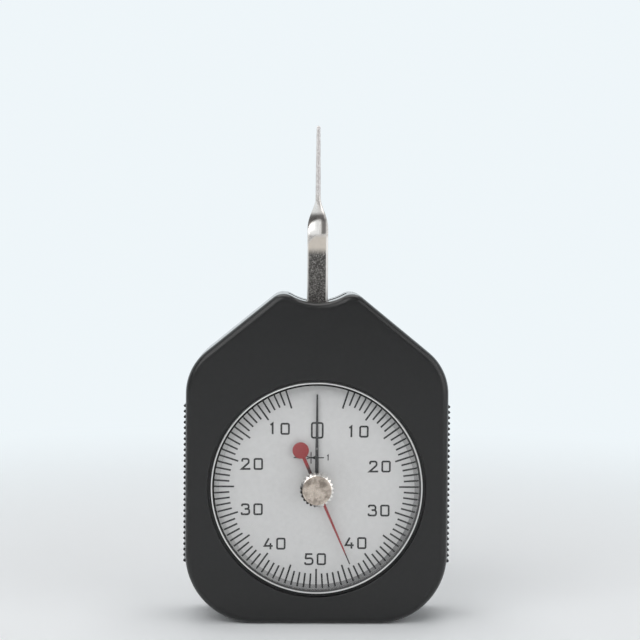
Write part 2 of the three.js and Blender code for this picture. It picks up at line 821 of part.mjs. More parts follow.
function pillar(x, z) {
  const body = turned(x, z, [
    [0, plateFront + seatGap],
    [pillarSpigotRadius, plateFront + seatGap],
    [pillarSpigotRadius, plateBack + seatGap],
    [pillarRadius, plateBack + seatGap],
    [pillarRadius, bridgeFront - seatGap],
    [0, bridgeFront - seatGap],
  ], screwSteps);
  const bore = rod(x, z, smallShankRadius + fitGap, bridgeFront - pillarScrewReach, bridgeFront + overrun);
  return shaped(body, [], [bore]);
}

pillarPlaces.forEach(([x, z], at) => {
  const reach = plateThickness + pillarScrewReach - screwTipGap;
  place(`pillar_${at + 1}`, pillar(x, z), brass);
  place(`bridge_screw_${at + 1}`, smallScrew(x, z, bridgeBack, reach), steel);
});

// A flanged bush: its body fills the plate's hole and its flange lies between the plates.
function bush(z, flangeStart, flangeEnd, bodyStart, bodyEnd) {
  const bore = pivotRadius + fitGap;
  const body = tube(0, z, bore, bushOuterRadius, bodyStart, bodyEnd);
  const flange = tube(0, z, bore, bushFlangeRadius, flangeStart, flangeEnd);
  return shaped(body, [flange], []);
}

const frontFlangeEnd = plateBack + seatGap + bushFlangeThickness;
const rearFlangeStart = bridgeFront - seatGap - bushFlangeThickness;
const bushNeck = bushFlangeThickness / 2;

for (const [name, z] of [["pointer", dialHeight], ["lever", pivotHeight]]) {
  const flangeStart = plateBack + seatGap;
  const front = bush(z, flangeStart, frontFlangeEnd, plateFront, flangeStart + bushNeck);
  const rear = bush(z, rearFlangeStart, bridgeFront - seatGap, bridgeFront - seatGap - bushNeck, bridgeBack);
  place(`${name}_bush_front`, front, brass);
  place(`${name}_bush_rear`, rear, brass);
}

function hairspring() {
  const steps = hairspringSteps * hairspringTurns;
  const wound = (shift) => {
    const points = [];
    for (let step = 0; step <= steps; step += 1) {
      const turn = (hairspringTurns * step) / steps;
      const radius = hairspringStart + hairspringPitch * turn + shift;
      const angle = Math.PI + 2 * Math.PI * turn;
      points.push(new THREE.Vector2(radius * Math.cos(angle), dialHeight + radius * Math.sin(angle)));
    }
    return points;
  };
  const outline = [...wound(hairspringStrip), ...wound(0).reverse()];
  const middle = colletFront + colletWidth / 2;
  return slab(new THREE.Shape(outline), middle - hairspringWidth / 2, middle + hairspringWidth / 2);
}

const colletFront = plateBack + colletLead;
const pinionFront = plateBack + pinionLead;
place("hairspring", hairspring(), blueSteel);
place(
  "hairspring_stud",
  rod(...hairspringStudPlace(), studRadius, plateFront, colletFront + colletWidth),
  brass,
);
place(
  "hairspring_collet",
  tube(0, dialHeight, pointerArborRadius + fitGap, colletRadius, colletFront, colletFront + colletWidth),
  brass,
);

function springClamp() {
  const front = springFront - clampLip;
  const back = bridgeFront - seatGap;
  const gap = springThickness / 2 + seatGap;
  const cuts = [
    box(-gap, gap, front - overrun, springBack + seatGap, clampBottom + clampLip, clampTop + overrun),
    ...clampScrewPlaces.map(([x, z]) => {
      return rod(x, z, smallShankRadius + fitGap, back - clampScrewReach, back + overrun);
    }),
  ];
  return shaped(box(-clampHalfWidth, clampHalfWidth, front, back, clampBottom, clampTop), [], cuts);
}

place("spring_clamp", springClamp(), brass);
clampScrewPlaces.forEach(([x, z], at) => {
  const reach = plateThickness + clampScrewReach - screwTipGap;
  place(`clamp_screw_${at + 1}`, smallScrew(x, z, bridgeBack, reach), steel);
});

const springTop = forkBottom + forkSlotDepth - springHeadroom;
place(
  "measuring_spring",
  box(
    -springThickness / 2, springThickness / 2, springFront, springBack,
    clampBottom + clampLip + seatGap, springTop,
  ),
  blueSteel,
);

for (const [name, side] of [["left", -1], ["right", 1]]) {
  const post = rod(side * stopX, stopZ, stopRadius, holderFront, bridgeFront - seatGap);
  const spigot = rod(side * stopX, stopZ, stopRadius / 2, holderBack, bridgeBack);
  place(`stop_post_${name}`, shaped(post, [spigot], []), steel);
}

// An arbor with a thinner pivot at each end
function arbor(z, radius, front, back, tipRadius) {
  const shoulderFront = frontFlangeEnd + seatGap;
  const shoulderBack = rearFlangeStart - seatGap;
  return turned(0, z, [
    [0, front],
    [tipRadius, front],
    [tipRadius, plateFront - seatGap],
    [pivotRadius, plateFront - seatGap],
    [pivotRadius, shoulderFront],
    [radius, shoulderFront],
    [radius, shoulderBack],
    [pivotRadius, shoulderBack],
    [pivotRadius, back],
    [0, back],
  ]);
}

// One wheel's tooth flank as an angle from the tooth's middle, by the involute of its base circle
function flankAngle(teeth, radius) {
  const pitchRadius = (gearModule * teeth) / 2;
  const baseRadius = pitchRadius * Math.cos(pressureAngle);
  const involute = (at) => {
    const pressure = Math.acos(Math.min(1, baseRadius / at));
    return Math.tan(pressure) - pressure;
  };
  const halfTooth = Math.PI / (2 * teeth) - toothBacklash / (4 * pitchRadius);
  return halfTooth + involute(pitchRadius) - involute(Math.max(radius, baseRadius));
}

// The outline of one tooth, from root to tip and back to the root
function toothOutline(teeth, middle, x, z) {
  const pitchRadius = (gearModule * teeth) / 2;
  const root = pitchRadius - dedendumShare * gearModule;
  const tip = pitchRadius + addendumShare * gearModule;
  const rising = [];
  const falling = [];
  for (let step = 0; step <= flankSteps; step += 1) {
    const radius = root + ((tip - root) * step) / flankSteps;
    const half = flankAngle(teeth, radius);
    rising.push(...arc(x, z, radius, middle - half, middle - half, 1).slice(1));
    falling.unshift(...arc(x, z, radius, middle + half, middle + half, 1).slice(1));
  }
  return [...rising, ...falling];
}

function pinion() {
  const outline = [];
  for (let tooth = 0; tooth < pinionTeeth; tooth += 1) {
    const middle = Math.PI / 2 + (2 * Math.PI * tooth) / pinionTeeth;
    outline.push(...toothOutline(pinionTeeth, middle, 0, dialHeight));
  }
  const shape = new THREE.Shape(outline);
  const back = pinionFront + pinionWidth;
  const bore = rod(0, dialHeight, pointerArborRadius + fitGap, pinionFront - overrun, back + overrun);
  return shaped(slab(shape, pinionFront, back), [], [bore]);
}

// The toothed sector: a rim with teeth below, two spokes and a round hub about the pivot
function sectorOutline() {
  const pitch = (2 * Math.PI) / wheelTeeth;
  const half = (sectorTeeth * pitch) / 2;
  const down = -Math.PI / 2;
  const teeth = [];
  for (let tooth = 0; tooth < sectorTeeth; tooth += 1) {
    const middle = down - half + pitch * (tooth + 0.5);
    teeth.push(...toothOutline(wheelTeeth, middle, 0, pivotHeight));
  }
  const root = wheelPitchRadius - dedendumShare * gearModule;
  const tangent = half + Math.acos(sectorHubRadius / root);
  const hub = arc(0, pivotHeight, sectorHubRadius, down + tangent, down + 2 * Math.PI - tangent, smallSteps);
  return { outline: [...teeth, ...hub], tangent, down };
}

function sectorGear() {
  const { outline, tangent, down } = sectorOutline();
  const outer = wheelPitchRadius - sectorRim;
  const inner = sectorHubRadius + sectorSpoke;
  const spread = (radius) => tangent - Math.acos((sectorHubRadius - sectorSpoke) / radius);
  const opening = [
    ...arc(0, pivotHeight, outer, down - spread(outer), down + spread(outer), cornerSteps),
    ...arc(0, pivotHeight, inner, down + spread(inner), down - spread(inner), cornerSteps),
  ];
  const cuts = [
    slab(new THREE.Shape(opening), sectorFront - overrun, sectorBack + overrun),
    rod(0, pivotHeight, sectorCollarRadius + fitGap, sectorFront - overrun, sectorBack + overrun),
  ];
  return shaped(slab(new THREE.Shape(outline), sectorFront, sectorBack), [], cuts);
}

function sectorHub() {
  const bore = leverArborRadius + fitGap;
  const flange = sectorCollarRadius + sectorCollarReach;
  const flangeBack = sectorFront - seatGap;
  const flangeFront = flangeBack - sectorCollarFlange;
  return turned(0, pivotHeight, [
    [bore, flangeFront],
    [flange, flangeFront],
    [flange, flangeBack],
    [sectorCollarRadius, flangeBack],
    [sectorCollarRadius, sectorBack],
    [bore, sectorBack],
    [bore, flangeFront],
  ]);
}

// One bevelled section of the lever, turned about its long axis
function leverSection(width, thickness, turn) {
  const bevel = Math.min(leverBevel, thickness / 3, width / 3);
  const [w, t] = [width / 2, thickness / 2];
  const corners = [
    [w, -t + bevel], [w, t - bevel], [w - bevel, t], [-w + bevel, t],
    [-w, t - bevel], [-w, -t + bevel], [-w + bevel, -t], [w - bevel, -t],
  ];
  const middle = new THREE.Vector2(0, leverMiddle);
  return corners.map(([x, y]) => new THREE.Vector2(x, y + leverMiddle).rotateAround(middle, turn));
}

// The feeler lever: a flat strip, then a quarter twist, then a blade that thins to a round tip
function feelerLever() {
  const layers = [];
  const add = (height, width, thickness, turn) => {
    layers.push({ outline: leverSection(width, thickness, turn), level: pivotHeight + height });
  };
  add(-leverTail, 2 * leverHalfWidth, leverThickness, 0);
  const bladeLength = leverReach - twistStart - twistLength;
  for (let step = 0; step <= twistSteps; step += 1) {
    const share = step / twistSteps;
    const turn = (-Math.PI / 2) * THREE.MathUtils.smoothstep(share, 0, 1);
    add(twistStart + twistLength * share, 2 * leverHalfWidth, leverThickness, turn);
  }
  for (let step = 1; step <= bladeSteps; step += 1) {
    const share = step / bladeSteps;
    const width = THREE.MathUtils.lerp(2 * leverHalfWidth, tipWidth, share);
    const thickness = THREE.MathUtils.lerp(leverThickness, tipThickness, share);
    const run = (bladeLength - tipWidth / 2) * (1 - share);
    add(leverReach - tipWidth / 2 - run, width, thickness, -Math.PI / 2);
  }
  for (let step = 1; step <= edgeSteps; step += 1) {
    const angle = (step / edgeSteps) * tipRoundShare * (Math.PI / 2);
    const width = tipWidth * Math.cos(angle);
    add(leverReach - (tipWidth / 2) * (1 - Math.sin(angle)), width, tipThickness, -Math.PI / 2);
  }
  const past = [leverFront - overrun, leverBack + overrun];
  const holes = [
    rod(0, pivotHeight, leverArborRadius + fitGap, ...past),
    ...leverScrewPlaces.map(([x, z]) => rod(x, z, smallShankRadius + fitGap, ...past)),
  ];
  return shaped(loft(layers, alongHeight), [], holes);
}

const leverScrewPlaces = [-1, 1].map((side) => [0, pivotHeight + side * leverScrewOffset]);

// The lever's holder, with a fork at its lower end for the measuring spring
function leverHolder() {
  const past = [holderFront - overrun, holderBack + overrun];
  const gap = springThickness / 2 + forkClearance;
  const cuts = [
    rod(0, pivotHeight, leverArborRadius + fitGap, ...past),
    ...leverScrewPlaces.map(([x, z]) => rod(x, z, smallShankRadius + fitGap, ...past)),
    box(-gap, gap, ...past, forkBottom - overrun, forkBottom + forkSlotDepth),
  ];
  const panel = roundedPanel(
    -holderHalfWidth, holderHalfWidth, forkBottom, pivotHeight + holderRise, holderHalfWidth / 3,
  );
  return shaped(slab(panel, holderFront, holderBack), [], cuts);
}

const arborTail = bridgeBack + arborProud;
place("feeler_lever", feelerLever(), nickel);
place("lever_holder", leverHolder(), brass);
place(
  "lever_arbor",
  arbor(pivotHeight, leverArborRadius, plateFront - arborProud, arborTail, pivotRadius),
  steel,
);
place("sector_gear", sectorGear(), brass);
place("sector_hub", sectorHub(), brass);
leverScrewPlaces.forEach(([x, z], at) => {
  place(`lever_screw_${at + 1}`, smallScrew(x, z, holderBack, leverScrewReach), steel);
});

const pointerHubEnd = pointerBack + seatGap + pointerHubLength;
const pointerTip = pointerFront - seatGap;
place("pointer_arbor", arbor(dialHeight, pointerArborRadius, pointerTip, arborTail, pointerTipRadius), steel);
place("pinion", pinion(), steel);
place(
  "pointer_hub",
  tube(0, dialHeight, pointerTipRadius + fitGap, pointerHubRadius, pointerBack + seatGap, pointerHubEnd),
  brass,
);

// A flat hand that tapers towards its tip, with a round boss about the dial's centre
function hand(length, rootWidth, tipWide, angle, bossRadius, bore, front, back) {
  const blade = new THREE.Shape([
    new THREE.Vector2(-rootWidth / 2, 0),
    new THREE.Vector2(rootWidth / 2, 0),
    new THREE.Vector2(tipWide / 2, length),
    new THREE.Vector2(-tipWide / 2, length),
  ]);
  const strip = slab(blade, front, back);
  strip.rotateY(angle);
  strip.translate(0, 0, dialHeight);
  const boss = rod(0, dialHeight, bossRadius, front, back);
  return shaped(boss, [strip], [rod(0, dialHeight, bore, front - overrun, back + overrun)]);
}

function blackPointer() {
  const bore = pointerTipRadius + fitGap;
  const past = [pointerFront - overrun, pointerBack + overrun];
  const blade = hand(
    pointerLength, pointerRootWidth, pointerTipWidth, 0, pointerBossRadius, bore, pointerFront, pointerBack,
  );
  const tailBar = roundBar(0, dialHeight, 0, dialHeight - pointerTail, pointerRootWidth / 2);
  const cuts = [
    rod(0, dialHeight, bore, ...past),
    rod(0, dialHeight + dragPinOrbit, dragPinRadius / 2 + fitGap, ...past),
  ];
  return shaped(blade, [slab(tailBar, pointerFront, pointerBack)], cuts);
}

function dragPin() {
  const z = dialHeight + dragPinOrbit;
  const under = pointerFront - seatGap;
  const top = dragBack + dragPinClearance;
  const head = rod(0, z, dragPinRadius, top, under);
  return shaped(head, [rod(0, z, dragPinRadius / 2, under - seatGap, pointerBack)], []);
}

// The red hand: a disc at its short end and a long thin tip at the other
function dragPointer() {
  const bore = spindleRadius + fitGap;
  const tip = hand(
    dragReach, dragArmWidth, dragTipWidth, Math.PI - dragAngle, dragBossRadius, bore, dragFront, dragBack,
  );
  const x = -dragDiscOrbit * Math.sin(dragAngle);
  const z = dialHeight + dragDiscOrbit * Math.cos(dragAngle);
  const arm = slab(roundBar(0, dialHeight, x, z, dragArmWidth / 2), dragFront, dragBack);
  const disc = rod(x, z, dragDiscRadius, dragFront, dragBack, 2 * smallSteps);
  const cuts = [rod(0, dialHeight, bore, dragFront - overrun, dragBack + overrun)];
  return shaped(tip, [arm, disc], cuts);
}

place("black_pointer", blackPointer(), blackPaint);
place("drag_pin", dragPin(), nickel);
place("drag_pointer", dragPointer(), redPaint);
place(
  "friction_washer",
  tube(0, dialHeight, spindleRadius + fitGap, dragBossRadius, washerFront, washerBack),
  steel,
);

// The knob's outline: round where the tooth depth is nothing, knurled elsewhere
function knurl(radius, toothDepth) {
  const points = [];
  for (let tooth = 0; tooth < knobTeeth; tooth += 1) {
    const pitch = (2 * Math.PI) / knobTeeth;
    for (const [share, drop] of [[0, toothDepth], [0.3, 0], [0.7, 0]]) {
      const angle = pitch * (tooth + share);
      points.push(new THREE.Vector2((radius - drop) * Math.cos(angle), (radius - drop) * Math.sin(angle)));
    }
  }
  return points.map((p) => p.add(new THREE.Vector2(0, dialHeight)));
}

function resetKnob() {
  const body = loft([
    { outline: knurl(knobFaceRadius, 0), level: knobFront },
    { outline: knurl(knobRadius, knurlDepth), level: knobFront + knobChamfer },
    { outline: knurl(knobRadius, knurlDepth), level: knobBack - knobChamfer },
    { outline: knurl(knobFaceRadius, 0), level: knobBack },
  ], alongDepth);
  const bore = rod(0, dialHeight, spindleRadius + fitGap, knobFront + knobRoof, knobBack + overrun);
  return shaped(body, [], [bore]);
}

place("reset_knob", resetKnob(), nickel);
place(
  "knob_spindle",
  rod(0, dialHeight, spindleRadius, knobFront + knobRoof + seatGap, dragBack + spindleEnd),
  steel,
);

export default gauge;
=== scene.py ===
# %% [markdown]
# # A dial tension gauge, piece by piece
# The gauge is a flat two-shell case with a round window, a dial with two pointers, a knurled reset
# knob and a twisted feeler lever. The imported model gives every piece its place. This lesson dresses
# it: smoother shells, rounded metal edges, printed dial marks and a finish for every surface.
# Sizes below are in millimetres, as on a workshop drawing, and MM turns them into Blender's metres.

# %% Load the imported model
import json
import math

import bmesh
import bpy
from mathutils import Matrix, Vector


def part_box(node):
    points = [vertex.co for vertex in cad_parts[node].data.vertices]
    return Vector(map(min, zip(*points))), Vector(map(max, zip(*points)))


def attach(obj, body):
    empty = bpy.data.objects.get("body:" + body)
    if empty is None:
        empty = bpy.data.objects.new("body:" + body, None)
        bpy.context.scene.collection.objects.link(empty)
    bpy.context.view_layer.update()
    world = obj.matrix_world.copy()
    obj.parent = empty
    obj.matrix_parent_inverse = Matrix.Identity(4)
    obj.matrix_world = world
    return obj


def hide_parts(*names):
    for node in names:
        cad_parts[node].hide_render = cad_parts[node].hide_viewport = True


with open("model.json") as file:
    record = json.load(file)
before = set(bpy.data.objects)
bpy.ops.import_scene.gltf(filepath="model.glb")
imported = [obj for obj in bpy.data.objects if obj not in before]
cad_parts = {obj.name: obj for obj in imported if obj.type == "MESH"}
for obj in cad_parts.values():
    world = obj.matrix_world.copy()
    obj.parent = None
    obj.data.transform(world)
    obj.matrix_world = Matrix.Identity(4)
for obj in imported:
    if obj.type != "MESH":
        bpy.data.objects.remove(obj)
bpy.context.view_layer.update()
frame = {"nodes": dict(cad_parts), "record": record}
scene = bpy.context.scene
MM = 0.001

# %% [markdown]
# ## Camera
# A long lens stands in front of the gauge, a little above the middle of the dial, and looks almost
# level. A camera's own axes are X to its right, Y up and Z backwards, so the three axes are worked
# out from how far it is pitched, yawed and rolled, and written into its matrix.

# %% Place the camera
CAMERA_PLACE = Vector((-6.0, -358.6, 92.0)) * MM
CAMERA_PITCH = math.radians(1.559)
CAMERA_YAW = math.radians(1.048)
CAMERA_ROLL = math.radians(0.388)
CAMERA_LENS = 84.04
CAMERA_SENSOR = 36
CAMERA_SHIFT = -0.07


def aimed(place, pitch, yaw, roll):
    """A matrix for a camera at a place, turned down by pitch, right by yaw and rolled."""
    level = math.cos(pitch)
    ahead = Vector((math.sin(yaw) * level, math.cos(yaw) * level, -math.sin(pitch)))
    right = Vector((math.cos(yaw), -math.sin(yaw), 0))
    up = right.cross(ahead)
    x_axis = right * math.cos(roll) + up * math.sin(roll)
    y_axis = up * math.cos(roll) - right * math.sin(roll)
    turn = Matrix((x_axis, y_axis, -ahead)).transposed().to_4x4()
    return Matrix.Translation(place) @ turn


camera_data = bpy.data.cameras.new("gauge_camera")
camera_data.lens = CAMERA_LENS
camera_data.sensor_width = CAMERA_SENSOR
camera_data.shift_y = CAMERA_SHIFT
camera = bpy.data.objects.new("gauge_camera", camera_data)
camera.matrix_world = aimed(CAMERA_PLACE, CAMERA_PITCH, CAMERA_YAW, CAMERA_ROLL)
scene.collection.objects.link(camera)
scene.camera = camera
scene.view_settings.view_transform = "Standard"
print("camera at", tuple(round(v, 3) for v in camera.location))

# %% [markdown]
# ## Helpers for closed meshes
# Most pieces here are rings of points joined by strips of faces. A turned piece repeats one profile
# round the dial's axis, and a shell repeats its outline at many depths. One helper joins rings and
# another finishes any mesh: doubles merged, faces outwards, smooth up to an angle.

# %% Join rings of points
DIAL_HEIGHT = 32.2
SHARP_ANGLE = math.radians(32)
SAME_POINT = 1e-8


def finished(name, mesh, sharp=SHARP_ANGLE):
    """A linked object with faces that point outwards and are smooth up to an angle."""
    work = bmesh.new()
    work.from_mesh(mesh)
    bmesh.ops.remove_doubles(work, verts=work.verts, dist=SAME_POINT)
    bmesh.ops.recalc_face_normals(work, faces=work.faces)
    if work.calc_volume(signed=True) < 0:
        bmesh.ops.reverse_faces(work, faces=work.faces)
    work.to_mesh(mesh)
    work.free()
    for face in mesh.polygons:
        face.use_smooth = True
    mesh.set_sharp_from_angle(angle=sharp)
    piece = bpy.data.objects.new(name, mesh)
    scene.collection.objects.link(piece)
    return piece


def joined_rings(name, rings, looped=False):
    """A closed mesh from rings of equal length; a ring of one point is a pole."""
    points, starts = [], []
    for ring in rings:
        starts.append(len(points))
        points += [(x * MM, y * MM, z * MM) for x, y, z in ring]
    count = max(len(ring) for ring in rings)
    pairs = list(zip(range(len(rings) - 1), range(1, len(rings))))
    pairs += [(len(rings) - 1, 0)] if looped else []
    faces = []
    for a, b in pairs:
        for i in range(count):
            j = (i + 1) % count
            a1, a2 = (starts[a] + k % len(rings[a]) for k in (i, j))
            b1, b2 = (starts[b] + k % len(rings[b]) for k in (i, j))
            faces.append(tuple(dict.fromkeys([a1, a2, b2, b1])))
    mesh = bpy.data.meshes.new(name)
    mesh.from_pydata(points, [], faces)
    return finished(name, mesh)


print("helpers ready: finished, joined_rings")

# %% [markdown]
# ## Rounded profiles
# No real edge is perfectly sharp, and a sharp one in a render catches no light. So a profile is
# drawn with plain corners, and a helper puts a small arc in place of each. The arc shrinks by
# itself where the next corner is too near.

# %% Round the corners of a profile
EASE_STEPS = 4
LONGEST_RUN = 0.48


def eased(points, radius, closed=True, steps=EASE_STEPS):
    """The corners of a profile replaced by arcs; radius is one number or one for each corner."""
    radii = radius if isinstance(radius, (list, tuple)) else [radius] * len(points)
    out = []
    for i, here in enumerate(map(Vector, points)):
        ends = not closed and i in (0, len(points) - 1)
        before, after = Vector(points[i - 1]), Vector(points[(i + 1) % len(points)])
        a, b = before - here, after - here
        if ends or radii[i] <= 0:
            out.append(tuple(here))
            continue
        half = a.angle(b) / 2
        run = min(radii[i] / math.tan(half), LONGEST_RUN * a.length, LONGEST_RUN * b.length)
        r = run * math.tan(half)
        centre = here + (a.normalized() + b.normalized()).normalized() * (r / math.sin(half))
        start, end = here + a.normalized() * run - centre, here + b.normalized() * run - centre
        sweep = start.angle(end)
        for step in range(steps + 1):
            t = step / steps
            part = (start * math.sin((1 - t) * sweep) + end * math.sin(t * sweep)) / math.sin(sweep)
            out.append(tuple(centre + part))
    return out


def circle(radius, y, steps, x=0, z=DIAL_HEIGHT):
    """A ring of points about an axis that runs along Y."""
    if radius <= 0:
        return [(x, y, z)]
    turns = [2 * math.pi * k / steps for k in range(steps)]
    return [(x + radius * math.sin(a), y, z + radius * math.cos(a)) for a in turns]


def turned(name, profile, steps, x=0, z=DIAL_HEIGHT):
    """A piece turned from a profile of (radius, y); one that starts on the axis is solid."""
    solid = profile[0][0] <= 0
    rings = [circle(radius, y, steps, x, z) for radius, y in profile]
    return joined_rings(name, rings, looped=not solid)


print("helpers ready: eased, circle, turned")

# %% [markdown]
# ## Cutting and welding
# A slot or a bore is easiest to cut with a second mesh, as a mill would. The Boolean modifier does
# it, its result becomes a plain mesh, and both old objects go. Boxes and cylinders are only tools
# here: none of them is ever seen. Each stands a little out past the piece that it cuts.

# %% Cut or weld with another mesh
TURN_SIDES = 32
TOOL_PAST = 1


def combined(piece, tool, how, sharp=SHARP_ANGLE):
    """piece with tool cut away (DIFFERENCE) or welded on (UNION); the tool is used up."""
    change = piece.modifiers.new("change", "BOOLEAN")
    change.operation = how
    change.solver = "EXACT"
    change.object = tool
    seen = piece.evaluated_get(bpy.context.evaluated_depsgraph_get())
    mesh = bpy.data.meshes.new_from_object(seen)
    name = piece.name
    for old in (piece, tool):
        bpy.data.objects.remove(old)
    return finished(name, mesh, sharp)


def block(x0, x1, y0, y1, z0, z1):
    """A plain box, only used as a tool."""
    middle = ((x0 + x1) / 2, (z0 + z1) / 2)
    ends = [[(middle[0], y, middle[1])] for y in (y0, y1)]
    rings = [[(x0, y, z0), (x1, y, z0), (x1, y, z1), (x0, y, z1)] for y in (y0, y1)]
    return joined_rings("tool", [ends[0], *rings, ends[1]])


def plug(radius, y0, y1, x, z, steps=TURN_SIDES):
    """A plain cylinder along Y, only used as a tool."""
    return turned("tool", [(0, y0), (radius, y0), (radius, y1), (0, y1)], steps, x, z)


print("helpers ready: combined, block, plug")

# %% [markdown]
# ## The case outline
# The case is a rounded rectangle below, with straight shoulders that rise to two small horns and a
# round notch between them. It is one rule: four arcs on each side, each moved inwards by the same
# inset. A rounded edge, a wall thickness or a step is then only another inset at another depth.

# %% Work out the outline
CASE_HALF_WIDTH = 31
CORNER_RADIUS = 16.5
SHOULDER_ANGLE = math.radians(39.15)
SHOULDER_RADIUS = 12.7
CREST_HALF_WIDTH = 12.08
HORN_RADIUS = 3.9
NOTCH_RADIUS = 12.5
NOTCH_FLOOR = 75.9
SHOULDER_HEIGHT = NOTCH_FLOOR - (CASE_HALF_WIDTH - CREST_HALF_WIDTH) * math.tan(SHOULDER_ANGLE)
CORNER_STEPS, SHOULDER_STEPS, HORN_STEPS, NOTCH_STEPS = 22, 12, 18, 12
LONGEST_STRAIGHT = 2.2


def horn_centre():
    """Where the horn's arc touches both the straight shoulder and the notch."""
    along = Vector((-math.cos(SHOULDER_ANGLE), math.sin(SHOULDER_ANGLE)))
    outward = Vector((math.sin(SHOULDER_ANGLE), math.cos(SHOULDER_ANGLE)))
    start = Vector((CASE_HALF_WIDTH, SHOULDER_HEIGHT)) - HORN_RADIUS * outward
    offset = start - Vector((0, NOTCH_FLOOR + NOTCH_RADIUS))
    half = offset.dot(along)
    reach = NOTCH_RADIUS + HORN_RADIUS
    return start + (-half - math.sqrt(half * half - offset.length_squared + reach * reach)) * along


def arc(x, z, radius, start, end, steps):
    """Points on an arc in X and Z."""
    angles = [start + (end - start) * k / steps for k in range(steps + 1)]
    return [(x + radius * math.cos(a), z + radius * math.sin(a)) for a in angles]


def case_corners(inset):
    """The arcs of the case outline, counter-clockwise from the middle of the floor."""
    turn = math.pi / 2 - SHOULDER_ANGLE
    horn = horn_centre()
    notch_height = NOTCH_FLOOR + NOTCH_RADIUS
    horn_end = math.atan2(notch_height - horn.y, -horn.x)
    shoulder_top = SHOULDER_HEIGHT - SHOULDER_RADIUS * math.tan(turn / 2)
    low = CASE_HALF_WIDTH - CORNER_RADIUS
    high = CASE_HALF_WIDTH - SHOULDER_RADIUS
    notch_start = horn_end - math.pi
    half = (
        arc(low, CORNER_RADIUS, CORNER_RADIUS - inset, -math.pi / 2, 0, CORNER_STEPS)
        + arc(high, shoulder_top, SHOULDER_RADIUS - inset, 0, turn, SHOULDER_STEPS)
        + arc(horn.x, horn.y, HORN_RADIUS - inset, turn, horn_end, HORN_STEPS)
        + arc(0, notch_height, NOTCH_RADIUS + inset, notch_start, -math.pi / 2, NOTCH_STEPS)[1:]
    )
    return half + [(-x, z) for x, z in reversed(half[:-1])]


print("corner points:", len(case_corners(0)))

# %% [markdown]
# The straight runs between the arcs need points too, and as many at every inset, or the rings
# couldn't be joined. So their number is counted once, on the outline itself. The window's rings get
# one point in line with each point of the outline, so the face's strips run straight out to it.

# %% Rings of the case and of its window
def with_straights(points, counts):
    """Extra points on the long straight runs, as many at every inset."""
    out = []
    for i, here in enumerate(points):
        after = points[(i + 1) % len(points)]
        out += [tuple(Vector(here).lerp(Vector(after), k / counts[i])) for k in range(counts[i])]
    return out


full_outline = case_corners(0)
runs = [(Vector(full_outline[(i + 1) % len(full_outline)]) - Vector(p)).length
        for i, p in enumerate(full_outline)]
straight_counts = [max(1, math.ceil(run / LONGEST_STRAIGHT)) for run in runs]


def case_ring(inset, y):
    """The case outline at an inset and a depth."""
    return [(x, y, z) for x, z in with_straights(case_corners(inset), straight_counts)]


def window_ring(radius, y):
    """A circle about the dial with one point for each point of the case outline."""
    ring = []
    for x, _, z in case_ring(0, 0):
        reach = math.hypot(x, z - DIAL_HEIGHT)
        ring.append((radius * x / reach, y, DIAL_HEIGHT + radius * (z - DIAL_HEIGHT) / reach))
    return ring


print("outline points:", len(case_ring(0, 0)))

# %% [markdown]
# ## The front cover
# The front shell carries the window, a shallow step round it and a softly rounded face edge. It is
# made as one closed strip of rings: out from the window, over the face and the edge, down the wall,
# in at the parting line and back along the inside. The depths of its faces are read from the
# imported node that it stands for, so the two can't drift apart.

# %% Make the front cover
WALL = 2
EDGE_RADIUS = 1.7
EDGE_STEPS = 10
PARTING_CHAMFER = 0.2
WINDOW_RADIUS = 25.1
STEP_RADIUS, STEP_DEPTH, STEP_EASE, STEP_CORNER = 25.72, 1.35, 0.16, 0.06
FLAT_MARGIN = 0.35
TONGUE_WALL, TONGUE_HEIGHT, TONGUE_ROOM = 0.95, 1.1, 0.15
SEAT_GAP = 0.05
INNER_EASE = 0.6


def depths(node):
    """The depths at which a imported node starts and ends."""
    low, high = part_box(node)
    return low.y / MM, high.y / MM


def face_edge(face_y, inward):
    """Insets and depths of the rounded edge between a face and the side wall."""
    turns = [math.pi / 2 * k / EDGE_STEPS for k in range(EDGE_STEPS + 1)]
    return [(EDGE_RADIUS * (1 - math.sin(t)), face_y + inward * EDGE_RADIUS * (1 - math.cos(t)))
            for t in turns]


FACE_Y, PARTING_Y = depths("front_cover")
BACK_Y = depths("rear_cover")[1]
window_profile = eased(
    [(WINDOW_RADIUS, FACE_Y + WALL), (WINDOW_RADIUS, FACE_Y + STEP_DEPTH),
     (STEP_RADIUS, FACE_Y + STEP_DEPTH), (STEP_RADIUS, FACE_Y),
     (STEP_RADIUS + STEP_EASE + FLAT_MARGIN, FACE_Y)],
    [0, STEP_CORNER, STEP_CORNER, STEP_EASE, 0], closed=False,
)
rabbet = WALL - TONGUE_WALL - SEAT_GAP
rabbet_y = PARTING_Y - TONGUE_HEIGHT - TONGUE_ROOM
inner_profile = [
    (0, PARTING_Y - PARTING_CHAMFER), (PARTING_CHAMFER, PARTING_Y), (rabbet, PARTING_Y),
    (rabbet, rabbet_y), (WALL, rabbet_y), (WALL, FACE_Y + WALL + INNER_EASE),
    (WALL + INNER_EASE, FACE_Y + WALL),
]
front_rings = [window_ring(r, y) for r, y in window_profile]
front_rings += [case_ring(EDGE_RADIUS + FLAT_MARGIN, FACE_Y)]
front_rings += [case_ring(inset, y) for inset, y in face_edge(FACE_Y, 1) + inner_profile]
front_rings += [window_ring(WINDOW_RADIUS + FLAT_MARGIN, FACE_Y + WALL)]
front_cover = joined_rings("moulded_front_cover", front_rings, looped=True)
print("front cover faces:", len(front_cover.data.polygons))

# %% [markdown]
# ## The rear cover
# The rear shell is a cup with the same rounded edge. A thin tongue stands up inside its rim and
# slides into the front shell's rabbet, which hides the joint and keeps dust out. Its two flat faces
# close in a point in their middle, so the whole cup is again one strip of rings.

# %% Make the rear cover
REAR_WALL_Y = BACK_Y - WALL
REAR_PARTING_Y = PARTING_Y + SEAT_GAP
REAR_MIDDLE = 40

